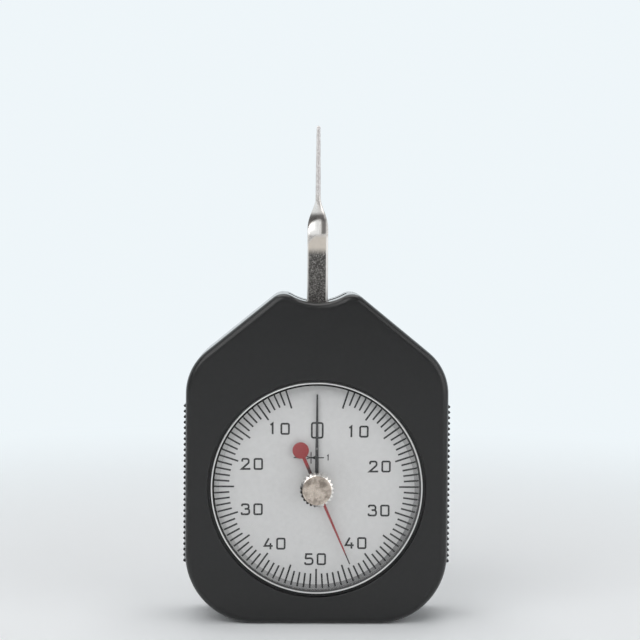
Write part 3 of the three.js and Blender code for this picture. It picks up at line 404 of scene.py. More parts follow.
tongue_top = REAR_PARTING_Y - TONGUE_HEIGHT
rear_profile = [
    (WALL + INNER_EASE, REAR_WALL_Y), (WALL, REAR_WALL_Y - INNER_EASE), (WALL, tongue_top),
    (WALL - TONGUE_WALL, tongue_top), (WALL - TONGUE_WALL, REAR_PARTING_Y),
    (PARTING_CHAMFER, REAR_PARTING_Y), (0, REAR_PARTING_Y + PARTING_CHAMFER),
]
rear_rings = [[(0, REAR_WALL_Y, REAR_MIDDLE)]]
rear_rings += [case_ring(inset, y) for inset, y in rear_profile]
rear_rings += [case_ring(inset, y) for inset, y in reversed(face_edge(BACK_Y, -1))]
rear_rings += [case_ring(EDGE_RADIUS + FLAT_MARGIN, BACK_Y), [(0, BACK_Y, REAR_MIDDLE)]]
rear_cover = joined_rings("moulded_rear_cover", rear_rings)
print("rear cover faces:", len(rear_cover.data.polygons))

# %% [markdown]
# ## Bosses, bores and the lever's slot
# Four screws come in from the back. Each goes through a boss of the rear shell and bites into one
# of the front shell, and its head sinks in a chamfered counterbore. The slot in the notch, half in
# each shell, lets the lever out and gives it room to swing.

# %% Cut the lever's slot, the screw bosses and their bores
SLOT_HALF_WIDTH = 6.98
SLOT_FRONT_Y, SLOT_BACK_Y = -0.742, 3.458
CASE_SCREW_PLACES = [(-21.93, 9.08), (21.93, 9.08), (-19.85, 61.84), (19.85, 61.84)]
BOSS_RADIUS = 3.4
BORE_RADIUS, BORE_DEPTH, BORE_CHAMFER, BORE_SIDES = 2.2, 2.6, 0.2, 40
SHANK_BORE_RADIUS, SHANK_BORE_END = 1.12, 1
PILOT_RADIUS, PILOT_DEPTH = 1.04, 6
CUT_PAST = 1.5


def counterbore(x, z):
    """A tool for a bore with a small chamfer where it meets the back."""
    wide, past = BORE_RADIUS + BORE_CHAMFER, BACK_Y + CUT_PAST
    floor_y = BACK_Y - BORE_DEPTH
    return turned("tool", [(0, floor_y), (BORE_RADIUS, floor_y), (BORE_RADIUS, BACK_Y - BORE_CHAMFER),
                           (wide, BACK_Y), (wide, past), (0, past)], BORE_SIDES, x, z)


def lever_slot():
    """A tool for the slot in the notch."""
    return block(-SLOT_HALF_WIDTH, SLOT_HALF_WIDTH, SLOT_FRONT_Y, SLOT_BACK_Y,
                 NOTCH_FLOOR - WALL - CUT_PAST, NOTCH_FLOOR + HORN_RADIUS + CUT_PAST)


for x, z in CASE_SCREW_PLACES:
    boss = plug(BOSS_RADIUS - SEAT_GAP, FACE_Y + WALL / 2, PARTING_Y - SEAT_GAP, x, z)
    front_cover = combined(front_cover, boss, "UNION")
    pilot = plug(PILOT_RADIUS, PARTING_Y - PILOT_DEPTH, PARTING_Y + CUT_PAST, x, z)
    front_cover = combined(front_cover, pilot, "DIFFERENCE")
    boss = plug(BOSS_RADIUS, REAR_PARTING_Y + SEAT_GAP, REAR_WALL_Y + WALL / 2, x, z)
    rear_cover = combined(rear_cover, boss, "UNION")
    shank = plug(SHANK_BORE_RADIUS, PARTING_Y - CUT_PAST, BACK_Y - SHANK_BORE_END, x, z)
    rear_cover = combined(rear_cover, shank, "DIFFERENCE")
    rear_cover = combined(rear_cover, counterbore(x, z), "DIFFERENCE")
front_cover = combined(front_cover, lever_slot(), "DIFFERENCE")
rear_cover = combined(rear_cover, lever_slot(), "DIFFERENCE")
print("faces after cutting:", len(front_cover.data.polygons), len(rear_cover.data.polygons))

# %% [markdown]
# ## Helpers for node trees
# The grip ridges, the dial's lines, the knurl, the screws and the lever's twist each follow a rule,
# and the finishes are node trees too. This helper adds nodes to any tree in a few words: a value is
# set on a socket, and another node's socket is linked to it.

# %% Add nodes in a few words
class Nodes:
    """Adds nodes to a tree and links them."""

    def __init__(self, tree):
        self.tree = tree

    def feed(self, socket, value):
        """Links another node's socket, or sets a plain value."""
        if isinstance(value, bpy.types.NodeSocket):
            self.tree.links.new(value, socket)
        elif value is not None:
            socket.default_value = value

    def add(self, kind, *values, named=None, **settings):
        """A new node with its settings, and its inputs fed by place or by name."""
        node = self.tree.nodes.new(kind)
        for key, value in settings.items():
            setattr(node, key, value)
        for place, value in [*enumerate(values), *(named or {}).items()]:
            self.feed(node.inputs[place], value)
        return node

    def math(self, operation, *values, **settings):
        return self.add("ShaderNodeMath", *values, operation=operation, **settings).outputs[0]

    def measured(self, operation, *vectors):
        """One number from vectors: a length, or how far one reaches along another."""
        return self.add("ShaderNodeVectorMath", *vectors, operation=operation).outputs["Value"]

    def vector(self, x=None, y=None, z=None):
        return self.add("ShaderNodeCombineXYZ", x, y, z).outputs[0]

    def ranged(self, value, low, high, first=0.0, last=1.0, shape="LINEAR"):
        """First up to low, last from high on, and a ramp between them."""
        named = {"Value": value, "From Min": low, "From Max": high, "To Min": first, "To Max": last}
        return self.add("ShaderNodeMapRange", named=named, interpolation_type=shape).outputs[0]

    def place(self):
        """The surface's own coordinates, in metres."""
        return self.add("ShaderNodeTexCoord").outputs["Object"]


class Tree(Nodes):
    """A new tree with named inputs and outputs."""

    def __init__(self, name, kind, inputs, outputs):
        super().__init__(bpy.data.node_groups.new(name, kind))
        for label, socket, value in inputs:
            made = self.tree.interface.new_socket(label, in_out="INPUT", socket_type=socket)
            if value is not None:
                made.default_value = value
        for label, socket in outputs:
            self.tree.interface.new_socket(label, in_out="OUTPUT", socket_type=socket)
        self.start = self.tree.nodes.new("NodeGroupInput")
        self.end = self.tree.nodes.new("NodeGroupOutput")

    def given(self, label):
        return self.start.outputs[label]

    def result(self, label, value):
        self.tree.links.new(value, self.end.inputs[label])


print("helpers ready: Nodes, Tree")

# %% [markdown]
# ## Geometry Nodes in four steps
# A tree gets named sizes, so each can be changed in one place. It ends in Realize Instances and Set
# Material, since copies that aren't real are lost on export. The modifier's inputs are set by their
# identifiers, the result becomes a plain mesh, and the modifier is gone.

# %% Run a tree on a piece
def geometry_tree(name, sizes):
    """A tree with a mesh input, named sizes and one mesh output."""
    inputs = [("Geometry", "NodeSocketGeometry", None)]
    inputs += [(label, "NodeSocketFloat", value) for label, value in sizes.items()]
    return Tree(name, "GeometryNodeTree", inputs, [("Geometry", "NodeSocketGeometry")])


def ended(t, geometry, material):
    """Ends a geometry tree: copies made real, one material, one mesh out."""
    real = t.add("GeometryNodeRealizeInstances", geometry.outputs[0])
    painted = t.add("GeometryNodeSetMaterial", real.outputs[0], named={"Material": material})
    t.result("Geometry", painted.outputs[0])
    return t.tree


def grown(name, base, tree, values, sharp=SHARP_ANGLE):
    """Runs a tree on a piece and keeps the result as a plain mesh."""
    modifier = base.modifiers.new("rule", "NODES")
    modifier.node_group = tree
    for item in tree.interface.items_tree:
        if item.in_out == "INPUT" and item.name in values:
            modifier[item.identifier] = values[item.name]
    seen = base.evaluated_get(bpy.context.evaluated_depsgraph_get())
    mesh = bpy.data.meshes.new_from_object(seen)
    bpy.data.objects.remove(base)
    mesh.name = name
    return finished(name, mesh, sharp)


def empty_base(points=()):
    """An object that holds only loose points, to start a tree from."""
    mesh = bpy.data.meshes.new("points")
    mesh.from_pydata([(x * MM, y * MM, z * MM) for x, y, z in points], [], [])
    base = bpy.data.objects.new("points", mesh)
    scene.collection.objects.link(base)
    return base


print("helpers ready: geometry_tree, ended, grown, empty_base")

# %% [markdown]
# ## Grip ridges
# Both long sides carry fine moulded ridges for the fingers, which run from front to back. One
# rounded bar is drawn as a curve, thinned towards its ends, and repeated up a line of points. As a
# tree, the count, pitch, width and rise stay numbers that can be changed in one place.

# %% Grow the ridges
RIDGE_COUNT = 29
RIDGE_PITCH = 1.31
RIDGE_WIDTH = 0.85
RIDGE_RISE = 0.55
RIDGE_START = 14.7
RIDGE_SETBACK = 2.4
RIDGE_SINK = 0.15
RIDGE_POINTS, RIDGE_SIDES = 9, 12
RIDGE_END_POWER, RIDGE_END_SHARE = 10.0, 0.04


def ridge_tree(material):
    """A rounded bar from front to back, repeated up a line."""
    sizes = {"Count": 3, "Pitch": 0.001, "Half width": 0.0004, "Rise": 0.0005, "Front": 0, "Back": 0.01}
    t = geometry_tree("grip_ridges", sizes)
    ends = [t.vector(None, t.given(end)) for end in ("Front", "Back")]
    line = t.add("GeometryNodeCurvePrimitiveLine", *ends)
    fine = t.add("GeometryNodeResampleCurve", line.outputs[0], named={"Count": RIDGE_POINTS})
    run = t.add("GeometryNodeSplineParameter").outputs["Factor"]
    middle = t.math("SUBTRACT", t.math("MULTIPLY", run, 2.0), 1.0)
    power = t.math("POWER", t.math("ABSOLUTE", middle), RIDGE_END_POWER)
    thin = t.math("SQRT", t.math("MAXIMUM", t.math("SUBTRACT", 1.0, power), RIDGE_END_SHARE))
    thinned = t.add("GeometryNodeSetCurveRadius", fine.outputs[0], named={"Radius": thin})
    ring = t.add("GeometryNodeCurvePrimitiveCircle", named={"Resolution": RIDGE_SIDES, "Radius": 1.0})
    scale = t.vector(t.given("Rise"), t.given("Half width"), 1.0)
    oval = t.add("GeometryNodeTransform", ring.outputs[0], named={"Scale": scale})
    bar = t.add("GeometryNodeCurveToMesh", thinned.outputs[0], oval.outputs[0], named={"Fill Caps": True})
    step = t.vector(None, None, t.given("Pitch"))
    points = t.add("GeometryNodeMeshLine", named={"Count": t.given("Count"), "Offset": step})
    copies = t.add("GeometryNodeInstanceOnPoints", points.outputs[0],
                   named={"Instance": bar.outputs[0]})
    return ended(t, copies, material)


moulded_plastic = bpy.data.materials.new("moulded_plastic")
ridges = []
ridge_rule = ridge_tree(moulded_plastic)
for cover, y0, y1 in (("front", FACE_Y + RIDGE_SETBACK, PARTING_Y - PARTING_CHAMFER),
                      ("rear", REAR_PARTING_Y + PARTING_CHAMFER, BACK_Y - RIDGE_SETBACK)):
    for side, name in ((-1, "left"), (1, "right")):
        piece = grown(f"{cover}_grip_{name}", empty_base(), ridge_rule, {
            "Count": float(RIDGE_COUNT), "Pitch": RIDGE_PITCH * MM, "Half width": RIDGE_WIDTH / 2 * MM,
            "Rise": (RIDGE_RISE + RIDGE_SINK) * MM, "Front": y0 * MM, "Back": y1 * MM,
        })
        shift = Vector((side * (CASE_HALF_WIDTH - RIDGE_SINK), 0, RIDGE_START)) * MM
        piece.data.transform(Matrix.Translation(shift))
        ridges.append(piece)
print("ridges:", len(ridges), "strips of", RIDGE_COUNT)

# %% [markdown]
# ## Bezel ring, crystal and bush
# These are turned on a lathe in real life, so they are turned here too: one profile of radius and
# depth each, carried round the dial's axis. The thin bright line round the window is the ring's
# rounded front edge, so that edge gets a generous arc. A list after a profile gives the size of the
# arc at each of its corners, in the same order.

# %% Turn the bezel ring
ROUND_STEPS = 160
RING_INNER, RING_OUTER, FLANGE_RADIUS, FLANGE_THICKNESS = 24.64, 24.97, 26.6, 0.5
RING_FRONT_Y, RING_BACK_Y = depths("bezel_ring")
RING_FLANGE_Y = RING_BACK_Y - FLANGE_THICKNESS
bezel_ring = turned("rounded_bezel_ring", eased([
    (RING_INNER, RING_FRONT_Y), (RING_OUTER, RING_FRONT_Y), (RING_OUTER, RING_FLANGE_Y),
    (FLANGE_RADIUS, RING_FLANGE_Y), (FLANGE_RADIUS, RING_BACK_Y), (RING_INNER, RING_BACK_Y),
], [0.1, 0.12, 0.05, 0.1, 0.1, 0.05]), ROUND_STEPS)
print("turned:", bezel_ring.name)

# %% [markdown]
# The crystal is one moulding on the real gauge. Here it is split where its clear disc meets its
# frosted skirt, because each wants a finish of its own. A black gasket seals it to the case, and a
# brass bush in its middle carries the knob's spindle.

# %% Turn the crystal, its gasket and its bush
CRYSTAL_HOLE, CRYSTAL_FLANGE = 1.54, 26.38
CRYSTAL_THICKNESS, CRYSTAL_FLANGE_THICKNESS = 0.8, 0.45
DISC_RADIUS, SKIRT_INNER, SKIRT_GAP = 24.2, 23.1, 0.03
GASKET_INNER, GASKET_OUTER, GASKET_EASE = 24.22, 24.62, 0.05
GASKET_PROUD, GASKET_REACH = 0.14, 2.1
SPINDLE_BORE = 0.64
BUSH_HEAD, BUSH_NECK, BUSH_EASE, BUSH_SIDES = 2.1, 1.5, 0.06, 48

CRYSTAL_FRONT_Y, CRYSTAL_BACK_Y = depths("crystal")
CRYSTAL_INNER_Y = CRYSTAL_FRONT_Y + CRYSTAL_THICKNESS
CRYSTAL_FLANGE_Y = CRYSTAL_BACK_Y - CRYSTAL_FLANGE_THICKNESS
SKIRT_FRONT_Y = CRYSTAL_INNER_Y + SKIRT_GAP
crystal = turned("clear_crystal", eased([
    (CRYSTAL_HOLE, CRYSTAL_FRONT_Y), (DISC_RADIUS, CRYSTAL_FRONT_Y),
    (DISC_RADIUS, CRYSTAL_INNER_Y), (CRYSTAL_HOLE, CRYSTAL_INNER_Y),
], [0.05, 0.12, 0.05, 0.05]), ROUND_STEPS)
crystal_skirt = turned("frosted_crystal_skirt", eased([
    (SKIRT_INNER, SKIRT_FRONT_Y), (DISC_RADIUS, SKIRT_FRONT_Y),
    (DISC_RADIUS, CRYSTAL_FLANGE_Y), (CRYSTAL_FLANGE, CRYSTAL_FLANGE_Y),
    (CRYSTAL_FLANGE, CRYSTAL_BACK_Y), (SKIRT_INNER, CRYSTAL_BACK_Y),
], [0.1, 0.05, 0.1, 0.08, 0.08, 0.06]), ROUND_STEPS)

GASKET_FRONT_Y, GASKET_BACK_Y = CRYSTAL_FRONT_Y - GASKET_PROUD, CRYSTAL_FRONT_Y + GASKET_REACH
gasket = turned("crystal_gasket", eased([
    (GASKET_INNER, GASKET_FRONT_Y), (GASKET_OUTER, GASKET_FRONT_Y),
    (GASKET_OUTER, GASKET_BACK_Y), (GASKET_INNER, GASKET_BACK_Y),
], GASKET_EASE), ROUND_STEPS)

BUSH_FRONT_Y, BUSH_BACK_Y = depths("crystal_bush")
BUSH_SEAT_Y = CRYSTAL_FRONT_Y - SEAT_GAP
crystal_bush = turned("turned_crystal_bush", eased([
    (SPINDLE_BORE, BUSH_FRONT_Y), (BUSH_HEAD, BUSH_FRONT_Y), (BUSH_HEAD, BUSH_SEAT_Y),
    (BUSH_NECK, BUSH_SEAT_Y), (BUSH_NECK, BUSH_BACK_Y), (SPINDLE_BORE, BUSH_BACK_Y),
], BUSH_EASE), BUSH_SIDES)
print("turned:", [piece.name for piece in (crystal, crystal_skirt, gasket, crystal_bush)])

# %% [markdown]
# ## Dial plate
# The dial is a thin painted disc with a centre hole for the pointer's arbor. Its front edge is
# hidden under the ring, and the paint gives it a barely rounded edge at the hole. Three small feet
# behind it hold it to the movement, each with a thinner peg.

# %% Make the dial plate
DIAL_THICKNESS, DIAL_HOLE_RADIUS, DIAL_EASE = 0.5, 1.6, 0.06
FOOT_COUNT, FIRST_FOOT, FOOT_ORBIT = 3, 150, 15.5
FOOT_RADIUS, FOOT_SINK, FOOT_HEIGHT, PEG_RADIUS = 1.3, 0.25, 1.25, 0.65

DIAL_FACE_Y, PEG_BACK_Y = depths("dial_plate")
dial_plate = turned("painted_dial_plate", eased([
    (DIAL_HOLE_RADIUS, DIAL_FACE_Y), (FLANGE_RADIUS, DIAL_FACE_Y),
    (FLANGE_RADIUS, DIAL_FACE_Y + DIAL_THICKNESS), (DIAL_HOLE_RADIUS, DIAL_FACE_Y + DIAL_THICKNESS),
], DIAL_EASE), ROUND_STEPS)
foot_front_y, foot_back_y = DIAL_FACE_Y + FOOT_SINK, DIAL_FACE_Y + FOOT_HEIGHT
for k in range(FOOT_COUNT):
    angle = math.radians(FIRST_FOOT + k * 360 / FOOT_COUNT)
    x, z = FOOT_ORBIT * math.cos(angle), DIAL_HEIGHT + FOOT_ORBIT * math.sin(angle)
    foot = turned("tool", [
        (0, foot_front_y), (FOOT_RADIUS, foot_front_y), (FOOT_RADIUS, foot_back_y),
        (PEG_RADIUS, foot_back_y), (PEG_RADIUS, PEG_BACK_Y), (0, PEG_BACK_Y),
    ], TURN_SIDES, x, z)
    dial_plate = combined(dial_plate, foot, "UNION")
print("dial plate faces:", len(dial_plate.data.polygons))

# %% [markdown]
# ## The scale's lines
# Ninety-one lines run round the dial at even angles, and every fifth is longer. That is a rule with
# a count, a first angle and a step, so a node tree places small bars on an arc of points. The ink
# is modelled as a film of real thickness, because a printed line stands a little proud.

# %% Grow the scale
INK_FILM, INK_SINK = 0.03, 0.02
LINE_COUNT, LONG_EVERY = 91, 5
FIRST_LINE, LINE_STEP = 18, 3.6
LINE_WIDTH = 0.4
LINE_OUTER, LONG_INNER, SHORT_INNER = 24.0, 19.45, 20.6


def scale_tree(material):
    """Bars on an arc, every so many of them longer."""
    sizes = {"Count": 3, "First angle": 0, "Step": 0.1, "Long every": 5, "Outer radius": 0.02,
             "Long inner": 0.015, "Short inner": 0.016, "Width": 0.0003, "Film": 0.0001}
    t = geometry_tree("scale_lines", sizes)
    points = t.add("GeometryNodeMeshLine", named={"Count": t.given("Count")})
    index = t.add("GeometryNodeInputIndex").outputs[0]
    turn = t.math("ADD", t.given("First angle"), t.math("MULTIPLY", index, t.given("Step")))
    short = t.math("GREATER_THAN", t.math("MODULO", index, t.given("Long every")), 0.5)
    spread = t.math("SUBTRACT", t.given("Short inner"), t.given("Long inner"))
    inner = t.math("ADD", t.given("Long inner"), t.math("MULTIPLY", short, spread))
    length = t.math("SUBTRACT", t.given("Outer radius"), inner)
    middle = t.math("DIVIDE", t.math("ADD", t.given("Outer radius"), inner), 2.0)
    place = t.vector(x=t.math("MULTIPLY", middle, t.math("SINE", turn)),
                     z=t.math("MULTIPLY", middle, t.math("COSINE", turn)))
    spun = t.add("GeometryNodeSetPosition", points.outputs[0], named={"Position": place})
    bar = t.add("GeometryNodeMeshCube", named={"Size": (1, 1, 1)})
    copies = t.add("GeometryNodeInstanceOnPoints", spun.outputs[0], named={
        "Instance": bar.outputs[0], "Rotation": t.vector(y=turn),
        "Scale": t.vector(t.given("Width"), t.given("Film"), length)})
    return ended(t, copies, material)


dial_ink = bpy.data.materials.new("dial_ink")
scale_lines = grown("scale_lines", empty_base(), scale_tree(dial_ink), {
    "Count": float(LINE_COUNT), "First angle": math.radians(FIRST_LINE), "Step": math.radians(LINE_STEP),
    "Long every": float(LONG_EVERY), "Outer radius": LINE_OUTER * MM, "Long inner": LONG_INNER * MM,
    "Short inner": SHORT_INNER * MM, "Width": LINE_WIDTH * MM, "Film": (INK_FILM + INK_SINK) * MM,
})
ink_middle_y = DIAL_FACE_Y + (INK_SINK - INK_FILM) / 2
scale_lines.data.transform(Matrix.Translation(Vector((0, ink_middle_y, DIAL_HEIGHT)) * MM))
print("scale faces:", len(scale_lines.data.polygons))

# %% [markdown]
# ## The printed numbers
# The numbers have an even, narrow stroke and boxy zeros, which no built-in font has. So each digit
# is a few centre lines, drawn in a box one unit wide and one unit high. A line is its points, how
# far its corners are rounded, and whether it closes.

# %% Draw the digits
DIGITS = {
    "0": [([(0, 0), (1, 0), (1, 1), (0, 1)], 0.3, True)],
    "1": [([(0.22, 0.86), (0.5, 1.02), (0.5, -0.04)], 0, False)],
    "2": [([(0.05, 0.72), (0.05, 1), (0.9, 1), (0.9, 0.62), (0.0, 0.0), (1.0, 0.0), (1.0, 0.1)],
           [0, 0.5, 0.6, 0.6, 0, 0, 0], False)],
    "3": [([(0.05, 0.8), (0.05, 1), (0.92, 1), (0.92, 0.54), (0.4, 0.54)],
           [0, 0.45, 0.5, 0.45, 0], False),
          ([(0.44, 0.535), (1, 0.535), (1, 0), (0, 0), (0, 0.2)], [0, 0.5, 0.5, 0.45, 0], False)],
    "4": [([(0.56, 1.04), (0.0, 0.28), (1.08, 0.28)], 0, False),
          ([(0.78, 0.56), (0.78, -0.06)], 0, False)],
    "5": [([(0.95, 1), (0.12, 1), (0.06, 0.56), (1, 0.62), (1, 0), (0, 0), (0, 0.2)],
           [0, 0, 0.1, 0.6, 0.6, 0.45, 0], False)],
}
print("digits drawn:", " ".join(DIGITS))

# %% [markdown]
# A helper lays a film of ink of even width along such a line, as a closed band with a flat top. At
# a corner the band is mitred, but never so far that a sharp corner grows a spike. The corners of
# the digits are rounded first, with the same helper as for profiles.

# %% Lay ink along a line
DIGIT_WIDTH, DIGIT_HEIGHT, DIGIT_STROKE, DIGIT_PITCH = 1.78, 2.38, 0.43, 2.94
DIGIT_EASE_STEPS = 6
SHARPEST_MITRE = 0.35


def inked(work, points, width, closed=False):
    """Adds one closed film of ink along a line of (x, z) points to a bmesh."""
    points = [Vector(p) for p in points]
    count = len(points)
    corners = []
    for i, here in enumerate(points):
        a = here - points[i - 1] if closed or i > 0 else points[1] - here
        b = points[(i + 1) % count] - here if closed or i < count - 1 else here - points[i - 1]
        a, b = a.normalized(), b.normalized()
        normal = Vector((-(a.y + b.y), a.x + b.x)).normalized()
        reach = width / 2 / max(SHARPEST_MITRE, normal.dot(Vector((-a.y, a.x))))
        side = normal * reach
        corners.append([(here + side, -INK_FILM), (here - side, -INK_FILM),
                        (here - side, INK_SINK), (here + side, INK_SINK)])
    rings = [[work.verts.new((p.x * MM, (DIAL_FACE_Y + y) * MM, p.y * MM)) for p, y in ring]
             for ring in corners]
    spans = list(zip(rings, rings[1:])) + ([(rings[-1], rings[0])] if closed else [])
    for a, b in spans:
        for k in range(4):
            work.faces.new((a[k], a[(k + 1) % 4], b[(k + 1) % 4], b[k]))
    if not closed:
        work.faces.new(rings[0])
        work.faces.new(list(reversed(rings[-1])))


def write_number(work, text, x, z, scale=1.0, stroke=DIGIT_STROKE):
    """Inks a number centred on a place on the dial."""
    left = x - DIGIT_PITCH * scale * (len(text) - 1) / 2
    for k, digit in enumerate(text):
        middle = left + k * DIGIT_PITCH * scale
        for line, radius, closed in DIGITS[digit]:
            placed = [(middle + (u - 0.5) * DIGIT_WIDTH * scale, z + (v - 0.5) * DIGIT_HEIGHT * scale)
                      for u, v in line]
            radii = [r * scale for r in radius] if isinstance(radius, list) else radius * scale
            inked(work, eased(placed, radii, closed, DIGIT_EASE_STEPS), stroke, closed)


def ink_piece(name, draw):
    """One inked piece from a function that draws into a bmesh."""
    work = bmesh.new()
    draw(work)
    mesh = bpy.data.meshes.new(name)
    work.to_mesh(mesh)
    work.free()
    return finished(name, mesh)


print("helpers ready: inked, write_number, ink_piece")

# %% [markdown]
# The numbers don't sit in exact pairs on the real dial, so each has its own measured place. Below
# the large zero a small mark tells what one division stands for: two arrows that meet across a
# short line, and a figure one. All of it is ink, so each of the two prints is one piece.

# %% Place the numbers and the graduation mark
NUMBER_PLACES = [
    ("10", -9.0, 45.9), ("10", 9.6, 45.3), ("20", -15.3, 37.55), ("20", 14.9, 37.05),
    ("30", -15.3, 26.8), ("30", 14.7, 26.6), ("40", -9.85, 18.65), ("40", 9.3, 18.85),
    ("50", -0.25, 15.0),
]
ZERO_SCALE, ZERO_PLACE = 1.45, (0.05, 45.6)
MARK_HEIGHT, MARK_STROKE = 39.2, 0.24
MARK_LINES = [((-5.5, 39.2), (-3.6, 39.2)), ((-1.4, 40.5), (-1.4, 37.8)), ((-0.9, 39.2), (1.7, 39.2))]
ARROW_TIPS = [(-1.55, -1), (-1.25, 1)]
ARROW_LENGTH, ARROW_RISE = 0.9, 0.3
MARK_DIGIT_X, MARK_DIGIT_SCALE = 2.7, 0.5


def draw_numbers(work):
    for text, x, z in NUMBER_PLACES:
        write_number(work, text, x, z)
    write_number(work, "0", *ZERO_PLACE, scale=ZERO_SCALE)


def draw_mark(work):
    for start, end in MARK_LINES:
        inked(work, [start, end], MARK_STROKE)
    for tip, way in ARROW_TIPS:
        tail = tip + way * ARROW_LENGTH
        inked(work, [(tail, MARK_HEIGHT + ARROW_RISE), (tip, MARK_HEIGHT),
                     (tail, MARK_HEIGHT - ARROW_RISE)], MARK_STROKE)
    write_number(work, "1", MARK_DIGIT_X, MARK_HEIGHT, MARK_DIGIT_SCALE, MARK_STROKE)


dial_numbers = ink_piece("dial_numbers", draw_numbers)
graduation_mark = ink_piece("graduation_mark", draw_mark)
print("numbers:", len(NUMBER_PLACES) + 1)

# %% [markdown]
# ## The two pointers
# Both pointers are stamped from thin sheet. Each outline is mirror-symmetric about its own length,
# so it is enough to know how wide it is at every station along it: the widest of a tapered blade, a
# round boss and a round disc. The plate then gets a small rounding on its edges: SHEET_EDGE says
# how wide the outline is, as a share, and at what depth below the face.

# %% Helpers that stamp a pointer
SPAN_STEPS = 28
NARROWEST = 0.004
SHEET_EDGE = [(0.0, 0.0), (0.86, 0.0), (0.96, 0.01), (1.0, 0.03)]
SHEET_TRIM = 0.003


def disc(middle, radius):
    """How wide a disc is at a station along a pointer."""
    return lambda s: math.sqrt(max(0, radius * radius - (s - middle) ** 2))


def taper(start, end, first, last):
    """How wide a straight tapered blade is at a station."""
    def width(s):
        if not min(start, end) - SAME_POINT <= s <= max(start, end) + SAME_POINT:
            return 0
        return first + (last - first) * (s - start) / (end - start)
    return width


def stations(*marks):
    """Stations along a pointer, closer together near each of the given marks."""
    found = set()
    for low, high in zip(marks, marks[1:]):
        for k in range(SPAN_STEPS + 1):
            share = (1 - math.cos(math.pi * k / SPAN_STEPS)) / 2
            found.add(round(low + (high - low) * share, 5))
    return sorted(found)


def stamped(name, widths, marks, node, angle, bore):
    """A flat pointer of given widths, as deep as its node, turned about the dial's centre."""
    front, back = depths(node)
    right = [(max(NARROWEST, *(w(s) for w in widths)), s) for s in marks]
    outline = right + [(-x, s) for x, s in reversed(right)]
    cos, sin = math.cos(angle), math.sin(angle)
    middle = (marks[0] + marks[-1]) / 2

    def ring(share, y):
        """The outline at a depth, narrowed to a share of its width and shortened a little."""
        trim = 1 - SHEET_TRIM * (1 - share)
        trimmed = [(x * share, middle + (s - middle) * trim) for x, s in outline]
        return [(x * cos + s * sin, y, DIAL_HEIGHT - x * sin + s * cos) for x, s in trimmed]

    rings = [ring(share, front + depth) for share, depth in SHEET_EDGE]
    rings += [ring(share, back - depth) for share, depth in reversed(SHEET_EDGE)]
    hole = plug(bore, front - TOOL_PAST, back + TOOL_PAST, 0, DIAL_HEIGHT, BORE_SIDES)
    return combined(joined_rings(name, rings), hole, "DIFFERENCE")


print("helpers ready: disc, taper, stations, stamped")

# %% [markdown]
# The black pointer is a plain blade with a short tail. The red one has a round disc at the end of
# its arm and a long thin needle the other way. A small pin in the black pointer is what drags the
# red one along, and it stops just short of it.

# %% Stamp both pointers and turn the drag pin
POINTER_LENGTH, POINTER_TAIL, POINTER_BOSS, POINTER_BORE = 21.9, 4.2, 1.25, 0.39
POINTER_ROOT, POINTER_TIP = 0.98 / 2, 0.38 / 2
black_pointer = stamped(
    "stamped_black_pointer",
    [taper(0, POINTER_LENGTH, POINTER_ROOT, POINTER_TIP),
     taper(-POINTER_TAIL, 0, POINTER_ROOT, POINTER_ROOT),
     disc(0, POINTER_BOSS), disc(-POINTER_TAIL, POINTER_ROOT)],
    stations(-POINTER_TAIL - POINTER_ROOT, -POINTER_TAIL, -POINTER_BOSS, POINTER_BOSS, POINTER_LENGTH),
    "black_pointer", 0, POINTER_BORE,
)
DRAG_REACH, DRAG_ORBIT, DRAG_DISC, DRAG_BOSS = 19.75, 9.62, 1.94, 1.35
DRAG_ARM, DRAG_TIP = 0.79 / 2, 0.26 / 2
DRAG_ANGLE = -math.radians(23.6)
red_pointer = stamped(
    "stamped_red_pointer",
    [taper(0, DRAG_ORBIT, DRAG_ARM, DRAG_ARM), taper(-DRAG_REACH, 0, DRAG_TIP, DRAG_ARM),
     disc(0, DRAG_BOSS), disc(DRAG_ORBIT, DRAG_DISC)],
    stations(-DRAG_REACH, -DRAG_BOSS, DRAG_BOSS, DRAG_ORBIT - DRAG_DISC, DRAG_ORBIT + DRAG_DISC),
    "drag_pointer", DRAG_ANGLE, SPINDLE_BORE,
)
PIN_ORBIT, PIN_RADIUS, PIN_EASE, PIN_SIDES = 9.2, 0.22, 0.06, 24
PIN_FRONT_Y, PIN_BACK_Y = depths("drag_pin")
pin_seat_y = depths("black_pointer")[0] - SEAT_GAP
drag_pin = turned("turned_drag_pin", eased([
    (0, PIN_FRONT_Y), (PIN_RADIUS, PIN_FRONT_Y), (PIN_RADIUS, pin_seat_y),
    (PIN_RADIUS / 2, pin_seat_y), (PIN_RADIUS / 2, PIN_BACK_Y), (0, PIN_BACK_Y),
], PIN_EASE, closed=False), PIN_SIDES, z=DIAL_HEIGHT + PIN_ORBIT)
print("pointers:", black_pointer.name, red_pointer.name)

# %% [markdown]
# ## The reset knob
# The knob is turned with chamfered ends, and then a knurling wheel rolls grooves into its rim. The
# same order works here: a turned blank goes into a node tree that never lets a point stand further
# out than the grooved outline. So the teeth run out by themselves on the chamfers. The points of
# the two edge tables are offsets from the face's radius, and depths below the nearer face.

# %% Turn and knurl the knob
KNOB_FACE_RADIUS, KNOB_RADIUS, KNOB_CHAMFER = 3.39, 3.96, 0.45
KNOB_FRONT_EDGE = [(-0.3, 0.0), (-0.06, 0.01), (0.0, 0.05)]
KNOB_BACK_EDGE = [(0.0, 0.04), (-0.06, 0.0)]
KNOB_BORE_DEPTH = 1
KNOB_TEETH, STEPS_PER_TOOTH = 24, 10
KNURL_DEPTH, HALF_GROOVE_SHARE = 0.52, 0.34
RIM_STEPS, CHAMFER_STEPS = 4, 5
KNOB_SHARP = math.radians(24)


